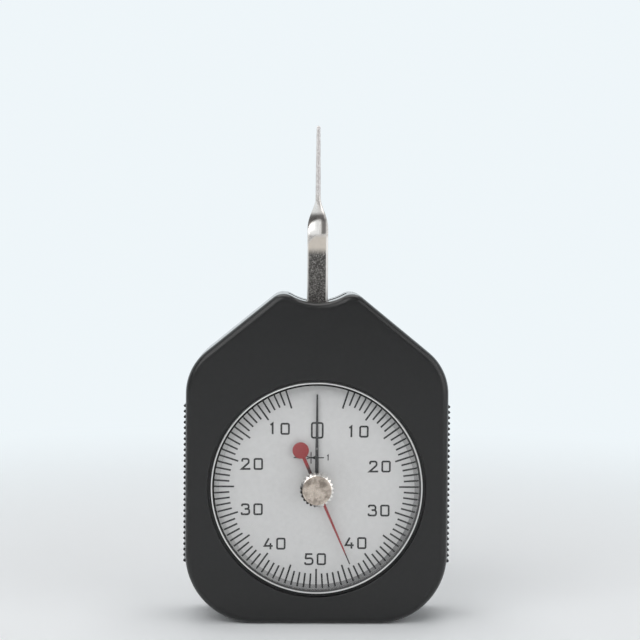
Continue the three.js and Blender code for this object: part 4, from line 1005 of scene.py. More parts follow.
def knurl_tree(material):
    """Pulls every point in to the outline of a grooved rim."""
    t = geometry_tree("knurl", {"Teeth": 24, "Depth": 0.0004, "Crest radius": 0.004, "Height": 0.03})
    x, y, z = t.add("ShaderNodeSeparateXYZ", t.add("GeometryNodeInputPosition").outputs[0]).outputs
    up = t.math("SUBTRACT", z, t.given("Height"))
    reach = t.math("SQRT", t.math("ADD", t.math("MULTIPLY", x, x), t.math("MULTIPLY", up, up)))
    teeth_per_turn = t.math("DIVIDE", t.given("Teeth"), math.tau)
    count = t.math("MULTIPLY", t.math("ARCTAN2", x, up), teeth_per_turn)
    always_positive = t.math("ADD", count, 100.0)
    tooth = t.math("FRACT", always_positive)
    near = t.math("MINIMUM", tooth, t.math("SUBTRACT", 1.0, tooth))
    flank = t.math("SUBTRACT", 1.0, t.math("DIVIDE", near, HALF_GROOVE_SHARE))
    groove = t.math("MULTIPLY", t.given("Depth"), t.math("MAXIMUM", flank, 0.0))
    limit = t.math("SUBTRACT", t.given("Crest radius"), groove)
    never_zero = t.math("MAXIMUM", reach, 1e-6)
    share = t.math("DIVIDE", t.math("MINIMUM", reach, limit), never_zero)
    carved = t.vector(t.math("MULTIPLY", x, share), y,
                      t.math("ADD", t.given("Height"), t.math("MULTIPLY", up, share)))
    moved = t.add("GeometryNodeSetPosition", t.given("Geometry"), named={"Position": carved})
    return ended(t, moved, material)


nickel_plate = bpy.data.materials.new("nickel_plate")
KNOB_FRONT_Y, KNOB_BACK_Y = depths("reset_knob")
knob_bore_y = KNOB_FRONT_Y + KNOB_BORE_DEPTH
rim_height = KNOB_BACK_Y - KNOB_FRONT_Y - 2 * KNOB_CHAMFER
rim_levels = [KNOB_FRONT_Y + KNOB_CHAMFER + k * rim_height / RIM_STEPS for k in range(RIM_STEPS + 1)]
chamfer = [(KNOB_FACE_RADIUS + (KNOB_RADIUS - KNOB_FACE_RADIUS) * s / CHAMFER_STEPS,
            KNOB_CHAMFER * s / CHAMFER_STEPS) for s in range(1, CHAMFER_STEPS)]
blank_profile = (
    [(0, KNOB_FRONT_Y)]
    + [(KNOB_FACE_RADIUS + r, KNOB_FRONT_Y + d) for r, d in KNOB_FRONT_EDGE]
    + [(r, KNOB_FRONT_Y + d) for r, d in chamfer]
    + [(KNOB_RADIUS, y) for y in rim_levels]
    + [(r, KNOB_BACK_Y - d) for r, d in reversed(chamfer)]
    + [(KNOB_FACE_RADIUS + r, KNOB_BACK_Y - d) for r, d in KNOB_BACK_EDGE]
    + [(SPINDLE_BORE, KNOB_BACK_Y), (SPINDLE_BORE, knob_bore_y), (0, knob_bore_y)]
)
blank = turned("knob_blank", blank_profile, KNOB_TEETH * STEPS_PER_TOOTH)
reset_knob = grown("knurled_reset_knob", blank, knurl_tree(nickel_plate), {
    "Teeth": float(KNOB_TEETH), "Depth": KNURL_DEPTH * MM, "Crest radius": KNOB_RADIUS * MM,
    "Height": DIAL_HEIGHT * MM,
}, KNOB_SHARP)
print("knob faces:", len(reset_knob.data.polygons))

# %% [markdown]
# ## The feeler lever
# The lever starts as a straight flat strip with rounded edges. A quarter twist turns it edge-on,
# and above the twist the blade thins to a round tip. First comes the strip, with its levels closer
# together where it will twist.

# %% Draw the straight strip
LEVER_MIDDLE_Y = PARTING_Y
LEVER_HALF_WIDTH, LEVER_THICKNESS = 2.5, 1.2
TIP_HALF_WIDTH, TIP_THICKNESS = 1.1, 0.9
TWIST_START, TWIST_END = 91.3, 101.0
LEVER_EDGE, LEVER_EDGE_STEPS, FLAT_POINTS = 0.42, 5, 10
FLAT_LEVELS, TWIST_LEVELS, BLADE_LEVELS, TIP_LEVELS = 14, 60, 20, 10
LEVER_SHARP = math.radians(50)
LEVER_BOTTOM, LEVER_TOP = (corner.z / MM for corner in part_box("feeler_lever"))


def strip_section():
    """The strip's section: a flat bar with rounded edges, and extra points on its flats."""
    w, t = LEVER_HALF_WIDTH, LEVER_THICKNESS / 2
    rounded = eased([(-w, -t), (w, -t), (w, t), (-w, t)], LEVER_EDGE, steps=LEVER_EDGE_STEPS)
    corner = LEVER_EDGE_STEPS + 1
    on_flat = [i % corner == corner - 1 and (i // corner) % 2 == 0 for i in range(len(rounded))]
    return with_straights(rounded, [FLAT_POINTS if flat else 1 for flat in on_flat])


def evenly(start, end, count):
    """Heights from start on, at even steps, up to the last one before end."""
    return [start + (end - start) * k / count for k in range(count)]


def strip_levels():
    """Heights along the strip, closer together in the twist and at the round tip."""
    tip_start = LEVER_TOP - TIP_HALF_WIDTH
    turns = [math.pi / 2 * k / TIP_LEVELS for k in range(TIP_LEVELS + 1)]
    return (evenly(LEVER_BOTTOM, TWIST_START, FLAT_LEVELS) + evenly(TWIST_START, TWIST_END, TWIST_LEVELS)
            + evenly(TWIST_END, tip_start, BLADE_LEVELS)
            + [tip_start + TIP_HALF_WIDTH * math.sin(turn) for turn in turns])


section = strip_section()
strip_rings = [[(0, LEVER_MIDDLE_Y, LEVER_BOTTOM)]]
strip_rings += [[(x, LEVER_MIDDLE_Y + y, z) for x, y in section] for z in strip_levels()]
strip_rings += [[(0, LEVER_MIDDLE_Y, LEVER_TOP)]]
strip = joined_rings("lever_strip", strip_rings)
print("strip levels:", len(strip_rings), "points a level:", len(section))

# %% [markdown]
# The twist is the main piece here that follows a rule. A node tree turns every point about the
# lever's middle line by a smooth step of its height, and thins the blade and its tip as it goes. As
# a tree it can be twisted further, or at another height, by one number. The bores come last.

# %% Twist the strip
ROUND_TIP, TIP_THINNING = 0.985, 6.0
PIVOT_HEIGHT, ARBOR_BORE = 67.2, 1.24
LEVER_SCREW_ORBIT, LEVER_SCREW_BORE, LEVER_BORE_REACH = 3.7, 0.79, 2


def twist_tree(material):
    """Turns and thins a straight strip by rules of its height."""
    sizes = {"Twist start": 0, "Twist end": 1, "Turn": 1.5, "Top": 1, "Tip width share": 0.5,
             "Tip thickness share": 0.7, "Tip length": 0.001, "Middle depth": 0}
    t = geometry_tree("lever_twist", sizes)
    x, y, z = t.add("ShaderNodeSeparateXYZ", t.add("GeometryNodeInputPosition").outputs[0]).outputs
    deep = t.math("SUBTRACT", y, t.given("Middle depth"))
    twist_end = t.given("Twist end")
    tip_start = t.math("SUBTRACT", t.given("Top"), t.given("Tip length"))
    wide = t.ranged(z, twist_end, tip_start, 1.0, t.given("Tip width share"))
    thick = t.ranged(z, twist_end, tip_start, 1.0, t.given("Tip thickness share"))
    into_tip = t.ranged(z, tip_start, t.given("Top"), 0.0, ROUND_TIP)
    tip = t.math("SQRT", t.math("SUBTRACT", 1.0, t.math("MULTIPLY", into_tip, into_tip)))
    thin_tip = t.math("SQRT", t.math("SUBTRACT", 1.0, t.math("POWER", into_tip, TIP_THINNING)))
    across = t.math("MULTIPLY", x, t.math("MULTIPLY", wide, tip))
    along = t.math("MULTIPLY", deep, t.math("MULTIPLY", thick, thin_tip))
    turn = t.ranged(z, t.given("Twist start"), twist_end, 0.0, t.given("Turn"), "SMOOTHSTEP")
    sine, cosine = t.math("SINE", turn), t.math("COSINE", turn)
    new_x = t.math("SUBTRACT", t.math("MULTIPLY", across, cosine), t.math("MULTIPLY", along, sine))
    new_y = t.math("ADD", t.math("MULTIPLY", across, sine), t.math("MULTIPLY", along, cosine))
    place = t.vector(new_x, t.math("ADD", new_y, t.given("Middle depth")), z)
    moved = t.add("GeometryNodeSetPosition", t.given("Geometry"), named={"Position": place})
    return ended(t, moved, material)


lever_metal = bpy.data.materials.new("lever_metal")
feeler_lever = grown("twisted_feeler_lever", strip, twist_tree(lever_metal), {
    "Twist start": TWIST_START * MM, "Twist end": TWIST_END * MM, "Turn": -math.pi / 2,
    "Top": LEVER_TOP * MM, "Tip width share": TIP_HALF_WIDTH / LEVER_HALF_WIDTH,
    "Tip thickness share": TIP_THICKNESS / LEVER_THICKNESS, "Tip length": TIP_HALF_WIDTH * MM,
    "Middle depth": LEVER_MIDDLE_Y * MM,
}, LEVER_SHARP)
for radius, rise in ((ARBOR_BORE, 0), (LEVER_SCREW_BORE, LEVER_SCREW_ORBIT),
                     (LEVER_SCREW_BORE, -LEVER_SCREW_ORBIT)):
    tool = plug(radius, LEVER_MIDDLE_Y - LEVER_BORE_REACH, LEVER_MIDDLE_Y + LEVER_BORE_REACH,
                0, PIVOT_HEIGHT + rise)
    feeler_lever = combined(feeler_lever, tool, "DIFFERENCE", LEVER_SHARP)
print("lever faces:", len(feeler_lever.data.polygons))

# %% [markdown]
# ## Case screws
# Four slotted screws sit in counterbores at the back. One screw is turned and slotted as a
# template, and a small tree puts a copy on each of four loose points, each turned by its own angle
# from a fixed seed, because no one drives four screws to the same angle.

# %% Place the case screws
SCREW_TIP_Y, SCREW_TOP_Y = depths("case_screw_1")
SCREW_HEAD, SCREW_HEAD_HEIGHT, SCREW_SHANK, SCREW_SIDES = 2.1, 1.4, 1.0, 40
SCREW_DOME_START, SCREW_DOME_SHARE = 0.5, 0.8
SCREW_SLOT, SCREW_SLOT_DEPTH = 0.34, 0.95
SCREW_SEED = 7.0


def screw_template():
    """One turned screw with a milled slot, on the axis of the case."""
    under = SCREW_TOP_Y - SCREW_HEAD_HEIGHT
    profile = eased([
        (0, SCREW_TIP_Y), (SCREW_SHANK, SCREW_TIP_Y), (SCREW_SHANK, under), (SCREW_HEAD, under),
        (SCREW_HEAD, SCREW_TOP_Y - SCREW_DOME_START), (SCREW_HEAD * SCREW_DOME_SHARE, SCREW_TOP_Y),
        (0, SCREW_TOP_Y),
    ], [0, 0.3, 0.05, 0.1, 0.4, 0.6, 0], closed=False)
    screw = turned("screw_template", profile, SCREW_SIDES, z=0)
    past = SCREW_HEAD + TOOL_PAST
    slot = block(-past, past, SCREW_TOP_Y - SCREW_SLOT_DEPTH, SCREW_TOP_Y + TOOL_PAST,
                 -SCREW_SLOT, SCREW_SLOT)
    return combined(screw, slot, "DIFFERENCE")


def screws_tree(template, material):
    """A copy of the template on every point, each turned by chance from a fixed seed."""
    t = geometry_tree("screws_on_points", {"Spread": 3.0, "Seed": 7.0})
    info = t.add("GeometryNodeObjectInfo", named={"Object": template})
    chance = t.add("FunctionNodeRandomValue", named={"Seed": t.given("Seed")}, data_type="FLOAT")
    t.feed(chance.inputs[3], t.given("Spread"))
    copies = t.add("GeometryNodeInstanceOnPoints", t.given("Geometry"), named={
        "Instance": info.outputs["Geometry"], "Rotation": t.vector(y=chance.outputs[1])})
    return ended(t, copies, material)


screw_steel = bpy.data.materials.new("screw_steel")
template = screw_template()
places = empty_base([(x, 0, z) for x, z in CASE_SCREW_PLACES])
case_screws = grown("slotted_case_screws", places, screws_tree(template, screw_steel),
                    {"Spread": math.pi, "Seed": SCREW_SEED})
bpy.data.objects.remove(template)
print("screws:", len(CASE_SCREW_PLACES), "faces:", len(case_screws.data.polygons))

# %% [markdown]
# ## Effects shared by several finishes
# A real surface is never one flat colour. Wear, grain, tarnish, scratches and smudges all vary over
# it, and most of them come from the same source: cloudy noise in the piece's own coordinates, read
# in millimetres and cut into a mask. So that is written first.

# %% Helpers for effects
def shader_group(name, inputs, outputs):
    """A shader tree whose named inputs and outputs are all plain numbers."""
    return Tree(name, "ShaderNodeTree",
                [(label, "NodeSocketFloat", value) for label, value in inputs.items()],
                [(label, "NodeSocketFloat") for label in outputs])


def in_millimetres(t, stretch=(1, 1, 1)):
    """The surface's own coordinates, in millimetres."""
    mapped = t.add("ShaderNodeMapping", t.place(), named={"Scale": [s / MM for s in stretch]})
    return mapped.outputs[0]


def noise(t, place, scale, detail, rough):
    """Cloudy noise between 0 and 1, with so many clouds a millimetre."""
    named = {"Vector": place, "Scale": scale, "Detail": detail, "Roughness": rough}
    return t.add("ShaderNodeTexNoise", named=named).outputs[0]


print("helpers ready: shader_group, in_millimetres, noise")

# %% [markdown]
# Six effects turn up on more than one material here: wear on edges, fine grain, tarnish in
# blotches, fine scratches, faint smudges, and how far towards the dial's lower right a place lies.
# Each is a node group with named inputs that puts out masks or heights. The shader itself stays in
# each material, where its plain numbers can be read. The wear's radius is in metres, as Blender's
# Bevel node wants it. Everything else is in or for each millimetre.

# %% Build the shared effect groups
BREAK_LOW, BREAK_HIGH = 0.3, 0.65
TONE_SCALE = 0.17
PATCH_BEFORE, PATCH_AFTER = 0.06, 0.12
SPECK_LOW, SPECK_HIGH = 0.46, 0.66
SCRATCH_STRETCH, SCRATCH_TILT = (0.05, 1, 1), 0.6
SCRATCH_LOW, SCRATCH_HIGH = 0.6, 0.72
CLOUD_LOW, CLOUD_HIGH = 0.35, 0.65
# the direction and span over which the painted crescent of shade and light grows towards the dial's lower
# right
LOWER_RIGHT = (0.6, 0, -0.8)
GREY_FROM, GREY_FULL = -12.0, 26.0


def edge_wear_group():
    t = shader_group("edge_wear", {"Radius": 0.0003, "Strength": 4.0, "Breakup": 3.0}, ["Mask"])
    bevel = t.add("ShaderNodeBevel", t.given("Radius"), samples=4)
    true = t.add("ShaderNodeNewGeometry").outputs["Normal"]
    facing = t.measured("DOT_PRODUCT", bevel.outputs[0], true)
    edge = t.math("MULTIPLY", t.math("SUBTRACT", 1.0, facing), t.given("Strength"))
    cloud = noise(t, in_millimetres(t), t.given("Breakup"), detail=2.0, rough=0.5)
    broken = t.ranged(cloud, BREAK_LOW, BREAK_HIGH)
    t.result("Mask", t.math("MINIMUM", t.math("MULTIPLY", edge, broken), 1.0))
    return t.tree


def grain_group():
    t = shader_group("fine_grain", {"Cells per mm": 6.0, "Roughness": 0.55}, ["Height", "Tone"])
    place, cells = in_millimetres(t), t.given("Cells per mm")
    t.result("Height", noise(t, place, cells, detail=3.0, rough=t.given("Roughness")))
    t.result("Tone", noise(t, place, t.math("MULTIPLY", cells, TONE_SCALE), detail=4.0, rough=0.6))
    return t.tree


def tarnish_group():
    t = shader_group("tarnish", {"Patch per mm": 0.6, "Speckle per mm": 5.0, "Cover": 0.5},
                     ["Patches", "Speckle"])
    place = in_millimetres(t)
    patch = noise(t, place, t.given("Patch per mm"), detail=6.0, rough=0.62)
    bare = t.math("SUBTRACT", 1.0, t.given("Cover"))
    t.result("Patches", t.ranged(patch, t.math("SUBTRACT", bare, PATCH_BEFORE),
                                 t.math("ADD", bare, PATCH_AFTER)))
    speck = noise(t, place, t.given("Speckle per mm"), detail=3.0, rough=0.7)
    t.result("Speckle", t.ranged(speck, SPECK_LOW, SPECK_HIGH))
    return t.tree


def scratch_group():
    t = shader_group("fine_scratches", {"Lines per mm": 9.0, "Amount": 0.5}, ["Mask"])
    tilted = t.add("ShaderNodeVectorRotate", in_millimetres(t, SCRATCH_STRETCH),
                   named={"Angle": SCRATCH_TILT}, rotation_type="Y_AXIS").outputs[0]
    lines = noise(t, tilted, t.given("Lines per mm"), detail=2.0, rough=0.6)
    scratched = t.ranged(lines, SCRATCH_LOW, SCRATCH_HIGH)
    t.result("Mask", t.math("MULTIPLY", scratched, t.given("Amount")))
    return t.tree


def smudge_group():
    t = shader_group("smudges", {"Per mm": 0.12, "Low": 0.4, "High": 0.6}, ["Value"])
    cloud = noise(t, in_millimetres(t), t.given("Per mm"), detail=5.0, rough=0.65)
    t.result("Value", t.ranged(cloud, CLOUD_LOW, CLOUD_HIGH, t.given("Low"), t.given("High")))
    return t.tree


def lower_right_group():
    t = shader_group("lower_right", {"From": GREY_FROM, "To": GREY_FULL}, ["Share"])
    across = t.measured("DOT_PRODUCT", in_millimetres(t), LOWER_RIGHT)
    off_centre = t.math("SUBTRACT", across, LOWER_RIGHT[2] * DIAL_HEIGHT)
    t.result("Share", t.ranged(off_centre, t.given("From"), t.given("To")))
    return t.tree


EFFECTS = {"wear": edge_wear_group(), "grain": grain_group(), "tarnish": tarnish_group(),
           "scratches": scratch_group(), "smudges": smudge_group(), "lower_right": lower_right_group()}
print("effects:", list(EFFECTS))

# %% [markdown]
# ## Mixing a finish
# Every finish is made in the same few steps: plain numbers on one Principled shader, effects that
# give masks, colours mixed by those masks, and bumps in a row. A small helper with a word for each
# keeps every finish short, and a second layer can pick up what already feeds the shader.

# %% A helper that mixes a finish
class Finish(Nodes):
    """A material being mixed: a Principled shader, and the nodes that feed it."""

    def __init__(self, material, **plain):
        material.use_nodes = True
        super().__init__(material.node_tree)
        self.shader = self.tree.nodes["Principled BSDF"]
        for label, value in plain.items():
            self.shader.inputs[label.replace("_", " ")].default_value = value

    def effect(self, name, **values):
        named = {label.replace("_", " "): value for label, value in values.items()}
        return self.add("ShaderNodeGroup", named=named, node_tree=EFFECTS[name]).outputs

    def mix(self, mask, first, second, strength=1.0):
        """A colour between two, by a mask; either may be another mix, or one grey number."""
        if strength != 1.0:
            mask = self.math("MULTIPLY", mask, strength)
        node = self.add("ShaderNodeMix", mask, data_type="RGBA")
        for place, value in ((6, first), (7, second)):
            if isinstance(value, float):
                value = (value, value, value)
            self.feed(node.inputs[place], (*value, 1) if isinstance(value, tuple) else value)
        return node.outputs[2]

    def give(self, label, value):
        """Lets a node feed one of the shader's inputs."""
        self.feed(self.shader.inputs[label], value)

    def given(self, label):
        """What feeds one of the shader's inputs so far."""
        return self.shader.inputs[label].links[0].from_socket

    def zone(self, place, limits):
        """0 up to the first of two places and 1 from the second on, in millimetres."""
        return self.ranged(place, limits[0] * MM, limits[1] * MM, shape="SMOOTHSTEP")

    def product(self, mask, *others):
        """Several masks multiplied together."""
        for other in others:
            mask = self.math("MULTIPLY", mask, other)
        return mask

    def bumps(self, *heights):
        """Bump nodes in a row, each of (height, strength, distance in mm)."""
        normal = None
        for height, strength, distance in heights:
            named = {"Strength": strength, "Distance": distance * MM, "Height": height, "Normal": normal}
            normal = self.add("ShaderNodeBump", named=named).outputs[0]
        self.give("Normal", normal)


print("finish helper ready")

# %% [markdown]
# ## Moulded plastic
# The case is moulded in a very dark grey plastic with a fine spark-eroded grain. Fingers polish it
# in faint patches, and the moulded edges catch a little pale wear. The grain is bump only, about
# six cells a millimetre, and the patches change the roughness instead of the colour. A clear coat
# stands for the moulding's closed outer skin and gives it a second, tighter sheen.

# %% Mix the plastic
def mix_plastic(material):
    finish = Finish(material, IOR=1.46, Roughness=0.5, Specular_IOR_Level=0.3,
                    Coat_Weight=1.0, Coat_Roughness=0.15, Coat_IOR=1.3)
    grain = finish.effect("grain", Cells_per_mm=5.5)
    wear = finish.effect("wear", Radius=0.00035, Strength=2.2, Breakup=1.6)["Mask"]
    smudge = finish.effect("smudges", Per_mm=0.09, Low=0.33, High=0.45)["Value"]
    colour = finish.mix(grain["Tone"], (0.0075, 0.0075, 0.0075), (0.0125, 0.0125, 0.0125))
    finish.give("Base Color", finish.mix(wear, colour, (0.055, 0.055, 0.056), 0.4))
    finish.give("Roughness", smudge)
    finish.bumps((grain["Height"], 0.28, 0.03))


mix_plastic(moulded_plastic)
print("mixed", moulded_plastic.name)

# %% [markdown]
# ## Nickel
# The knob, the ring and the lever are nickel-plated and old: the plating has dulled in brownish
# blotches and fine dark specks, and shines where it is rubbed. Metal has no colour of its own
# besides its reflection, so the blotches change both its tint and its roughness. The knob's knurl
# gets a second layer: its rim is rubbed bright, and its lower left is darkened as painted shade.

# %% Mix the nickel finishes
SPECK_SHADE = 0.35
KNURL_FROM, KNURL_FULL = 3.36, 3.5
# where and in which direction the painted shade on the knurl's rim grows
KNURL_SHADE_FROM, KNURL_SHADE_FULL = 0.8, 2.8
KNURL_SHADE_WAY = (-0.85, 0, -0.53)


def mix_nickel(material, clean, stained, cover, specks, rough, patch=0.6, metallic=1.0):
    """Plated or bare metal, dulled in blotches and specks; rough is its least and its most."""
    finish = Finish(material, Metallic=metallic, Roughness=0.3)
    tarnish = finish.effect("tarnish", Patch_per_mm=patch, Speckle_per_mm=5.0, Cover=cover)
    scratches = finish.effect("scratches", Lines_per_mm=7.0, Amount=0.6)["Mask"]
    wear = finish.effect("wear", Radius=0.00012, Strength=3.0, Breakup=4.0)["Mask"]
    smudge = finish.effect("smudges", Per_mm=0.5, Low=rough[0], High=rough[1])["Value"]
    grain = finish.effect("grain", Cells_per_mm=12.0)
    colour = finish.mix(tarnish["Patches"], clean, stained, 0.75)
    colour = finish.mix(tarnish["Speckle"], colour, tuple(SPECK_SHADE * c for c in stained), specks)
    finish.give("Base Color", finish.mix(wear, colour, (0.86, 0.84, 0.80), 0.8))
    finish.give("Roughness", smudge)
    finish.bumps((grain["Height"], 0.15, 0.01), (scratches, 0.2, 0.01))


def mix_knurl(material):
    """The knob's knurled rim is rubbed bright, and its lower left is darkened as painted shade."""
    finish = Finish(material)
    centred = finish.add("ShaderNodeVectorMath", finish.place(), (1, 0, 1), (0, 0, -DIAL_HEIGHT * MM),
                         operation="MULTIPLY_ADD").outputs[0]
    rim = finish.ranged(finish.measured("LENGTH", centred), KNURL_FROM * MM, KNURL_FULL * MM)
    to_lower_left = finish.measured("DOT_PRODUCT", centred, KNURL_SHADE_WAY)
    # painted shade: the knurl's rim darkens towards its lower left
    knurl_shade = finish.ranged(to_lower_left, KNURL_SHADE_FROM * MM, KNURL_SHADE_FULL * MM)
    # the rim's colour: bright rubbed plating, with painted shade at its lower left
    worn_and_painted_light = finish.mix(knurl_shade, (0.95, 0.92, 0.88), (0.03, 0.028, 0.025))
    finish.give("Base Color", finish.mix(rim, finish.given("Base Color"), worn_and_painted_light))
    finish.give("Roughness", finish.mix(rim, finish.given("Roughness"), 0.16))


mix_nickel(nickel_plate, (0.70, 0.605, 0.525), (0.15, 0.12, 0.095),
           cover=0.5, specks=0.35, rough=(0.2, 0.32), patch=0.45, metallic=0.8)
mix_knurl(nickel_plate)
ring_nickel = bpy.data.materials.new("ring_nickel")
mix_nickel(ring_nickel, (0.78, 0.78, 0.77), (0.70, 0.70, 0.69),
           cover=0.3, specks=0.05, rough=(0.36, 0.42), patch=0.2, metallic=0.6)
print("mixed", nickel_plate.name, ring_nickel.name)

# %% [markdown]
# ## The lever's metal
# The lever has several finishes in one. Its flat, which was clamped while it was twisted, is pitted
# and dark, with bright edges that are partly rubbed wear and partly a painted highlight. From just
# below the twist on it is polished, with a painted highlight on its brightest part and painted dark
# reflection bands beside it, and only the blade keeps a fine grain. Each change sits at a fixed
# place on the piece, so it is read from the piece's own coordinates. Each pair below says where
# such a zone begins to show and where it is full, in millimetres up the lever or across it.

# %% Mix the lever's metal
PITTED_TO_PLAIN, PLAIN_TO_TWIST, TWIST_TO_BLADE = (86.9, 89.1), (91.0, 92.2), (99.5, 102.5)
# SHINE: the painted highlight in the twist; EDGE: bright edge bands, partly wear and partly painted
# highlight; CROSSING and SIDE: the painted dark reflection bands
SHINE_RISE, SHINE_END, SHINE_RIGHT = (91.4, 92.3), (96.0, 95.0), (0.9, 0.0)
EDGE_RIGHT, EDGE_LEFT, EDGE_END = (1.85, 2.1), (-2.15, -2.35), (92.2, 91.0)
CROSSING_RISE, CROSSING_END, CROSSING_RIGHT = (94.9, 95.9), (97.6, 96.4), (1.9, 1.2)
SIDE_RISE, SIDE_END, SIDE_LEFT, SIDE_RIGHT = (91.7, 92.5), (96.4, 95.4), (0.5, 1.2), (2.2, 1.7)
# the colour of the painted dark reflection bands, then the white of the painted highlight and the edge
# bands
PAINTED_DARK_REFLECTION = (0.07, 0.06, 0.055)
BRIGHT = (0.97, 0.95, 0.92)
ARCH = 0.35


def mix_lever(material):
    finish = Finish(material, Metallic=0.8, Roughness=0.2)
    tarnish = finish.effect("tarnish", Patch_per_mm=0.9, Speckle_per_mm=3.2, Cover=0.5)
    wear = finish.effect("wear", Radius=0.0006, Strength=9.0, Breakup=0.7)["Mask"]
    grain = finish.effect("grain", Cells_per_mm=5.0)
    x, _, z = finish.add("ShaderNodeSeparateXYZ", finish.place()).outputs
    zone, product = finish.zone, finish.product

    # the height, with every level bent down towards the lever's left edge
    left = finish.math("MINIMUM", x, 0.0)
    arch = finish.math("MULTIPLY_ADD", finish.math("MULTIPLY", left, left), ARCH / MM, z)

    plain, twisted = zone(z, PITTED_TO_PLAIN), zone(arch, PLAIN_TO_TWIST)
    blade = zone(z, TWIST_TO_BLADE)
    # bright edge bands: partly rubbed wear, partly a painted highlight
    worn_and_painted_light = finish.math("MAXIMUM", zone(x, EDGE_RIGHT), zone(x, EDGE_LEFT))
    edges = product(worn_and_painted_light, zone(z, EDGE_END))
    # a painted highlight, and two painted dark reflection bands beside it
    painted_highlight = product(zone(z, SHINE_RISE), zone(arch, SHINE_END), zone(x, SHINE_RIGHT))
    crossing = product(zone(arch, CROSSING_RISE), zone(z, CROSSING_END), zone(x, CROSSING_RIGHT))
    side = product(zone(z, SIDE_RISE), zone(z, SIDE_END), zone(x, SIDE_LEFT), zone(x, SIDE_RIGHT))

    pitted = finish.mix(tarnish["Speckle"], (0.08, 0.075, 0.07), (0.42, 0.40, 0.38))
    pitted = finish.mix(tarnish["Patches"], pitted, (0.10, 0.095, 0.09), 0.4)
    pitted = finish.mix(wear, pitted, (0.85, 0.83, 0.80))
    satin = finish.mix(grain["Tone"], (0.66, 0.595, 0.525), (0.77, 0.70, 0.62))
    polished = finish.mix(grain["Tone"], (0.74, 0.70, 0.66), (0.84, 0.80, 0.76))
    # painted dark reflection bands and a painted highlight on the polished twist
    polished = finish.mix(crossing, polished, PAINTED_DARK_REFLECTION, 0.85)
    polished = finish.mix(side, polished, PAINTED_DARK_REFLECTION, 0.8)
    polished = finish.mix(painted_highlight, polished, BRIGHT)
    fine = finish.mix(tarnish["Speckle"], (0.52, 0.49, 0.48), (0.82, 0.80, 0.79))
    fine = finish.mix(wear, fine, (0.95, 0.94, 0.93))
    flat = finish.mix(edges, finish.mix(plain, pitted, satin), BRIGHT, 0.85)
    finish.give("Base Color", finish.mix(blade, finish.mix(twisted, flat, polished), fine))

    metallic = finish.mix(twisted, finish.mix(plain, 0.8, 0.35), 0.85)
    metallic = finish.mix(edges, finish.mix(painted_highlight, metallic, 0.3), 0.3)
    finish.give("Metallic", finish.mix(blade, metallic, 0.25))
    rough = finish.mix(twisted, finish.mix(plain, 0.42, 0.34), 0.26)
    finish.give("Roughness", finish.mix(blade, rough, 0.38))
    finish.bumps((tarnish["Speckle"], 0.12, 0.01), (grain["Height"], 0.1, 0.01))


mix_lever(lever_metal)
print("mixed", lever_metal.name)

# %% [markdown]
# ## Paint and ink
# The dial's paint is a light, faintly mottled grey with a very fine grain. The printing on it is a
# near black ink, and the pointers are painted sheet that is worn on its edges. The red paint has a
# second layer: painted shadow darkens it near the needle's tip and where the arm meets the knob.

# %% Mix paints and ink
PAINT_SPREAD = 0.07
# where the painted shadow on the red pointer begins and is full, along the pointer
TIP_SHADOW_FROM, TIP_SHADOW_FULL = 16.1, 17.7
ROOT_SHADOW_FULL, ROOT_SHADOW_TO = 4.7, 6.0
PAINTED_SHADOW_RED = (0.035, 0.018, 0.018)


def mix_paint(material, dark, light, rough, cells, bump, worn=None, spec=0.5):
    """Paint, ink or paper: mottled between two tones, grained, and worn on its edges if so said."""
    finish = Finish(material, Roughness=rough, Specular_IOR_Level=spec)
    grain = finish.effect("grain", Cells_per_mm=cells)
    smudge = finish.effect("smudges", Per_mm=0.15, Low=rough - PAINT_SPREAD, High=rough + PAINT_SPREAD)
    colour = finish.mix(grain["Tone"], dark, light)
    if worn:
        wear = finish.effect("wear", Radius=0.00008, Strength=3.0, Breakup=4.0)["Mask"]
        colour = finish.mix(wear, colour, worn, 0.6)
    finish.give("Base Color", colour)
    finish.give("Roughness", smudge["Value"])
    finish.bumps((grain["Height"], bump, 0.01))


def paint_end_shadows(material):
    """Painted shadow on the red pointer's tip and root, measured along the pointer."""
    finish = Finish(material)
    way = Vector((math.sin(DRAG_ANGLE), 0, math.cos(DRAG_ANGLE)))
    along = finish.measured("DOT_PRODUCT", finish.place(), way)
    centre = DIAL_HEIGHT * way.z
    # painted shadow near the needle's tip
    tip = finish.ranged(along, (centre - TIP_SHADOW_FROM) * MM, (centre - TIP_SHADOW_FULL) * MM)
    # painted shadow on the arm where it meets the knob
    root_shadow = finish.ranged(along, (centre + ROOT_SHADOW_TO) * MM, (centre + ROOT_SHADOW_FULL) * MM)
    on_arm = finish.math("GREATER_THAN", along, centre * MM)
    colour = finish.mix(tip, finish.given("Base Color"), PAINTED_SHADOW_RED)
    finish.give("Base Color", finish.mix(finish.product(root_shadow, on_arm), colour, PAINTED_SHADOW_RED))


dial_paint = bpy.data.materials.new("dial_paint")
black_paint = bpy.data.materials.new("black_paint")
red_paint = bpy.data.materials.new("red_paint")
mix_paint(dial_paint, (0.55, 0.547, 0.543), (0.655, 0.652, 0.648), rough=0.6, cells=7.0, bump=0.25)
mix_paint(dial_ink, (0.003, 0.003, 0.003), (0.008, 0.008, 0.008),
          rough=0.6, cells=9.0, bump=0.2, spec=0.05)
mix_paint(black_paint, (0.006, 0.006, 0.006), (0.015, 0.015, 0.015),
          rough=0.5, cells=8.0, bump=0.15, worn=(0.05, 0.05, 0.05), spec=0.3)
mix_paint(red_paint, (0.235, 0.010, 0.011), (0.33, 0.018, 0.021),
          rough=0.5, cells=6.0, bump=0.2, worn=(0.34, 0.08, 0.08), spec=0.3)
paint_end_shadows(red_paint)
print("mixed", dial_paint.name, dial_ink.name, black_paint.name, red_paint.name)

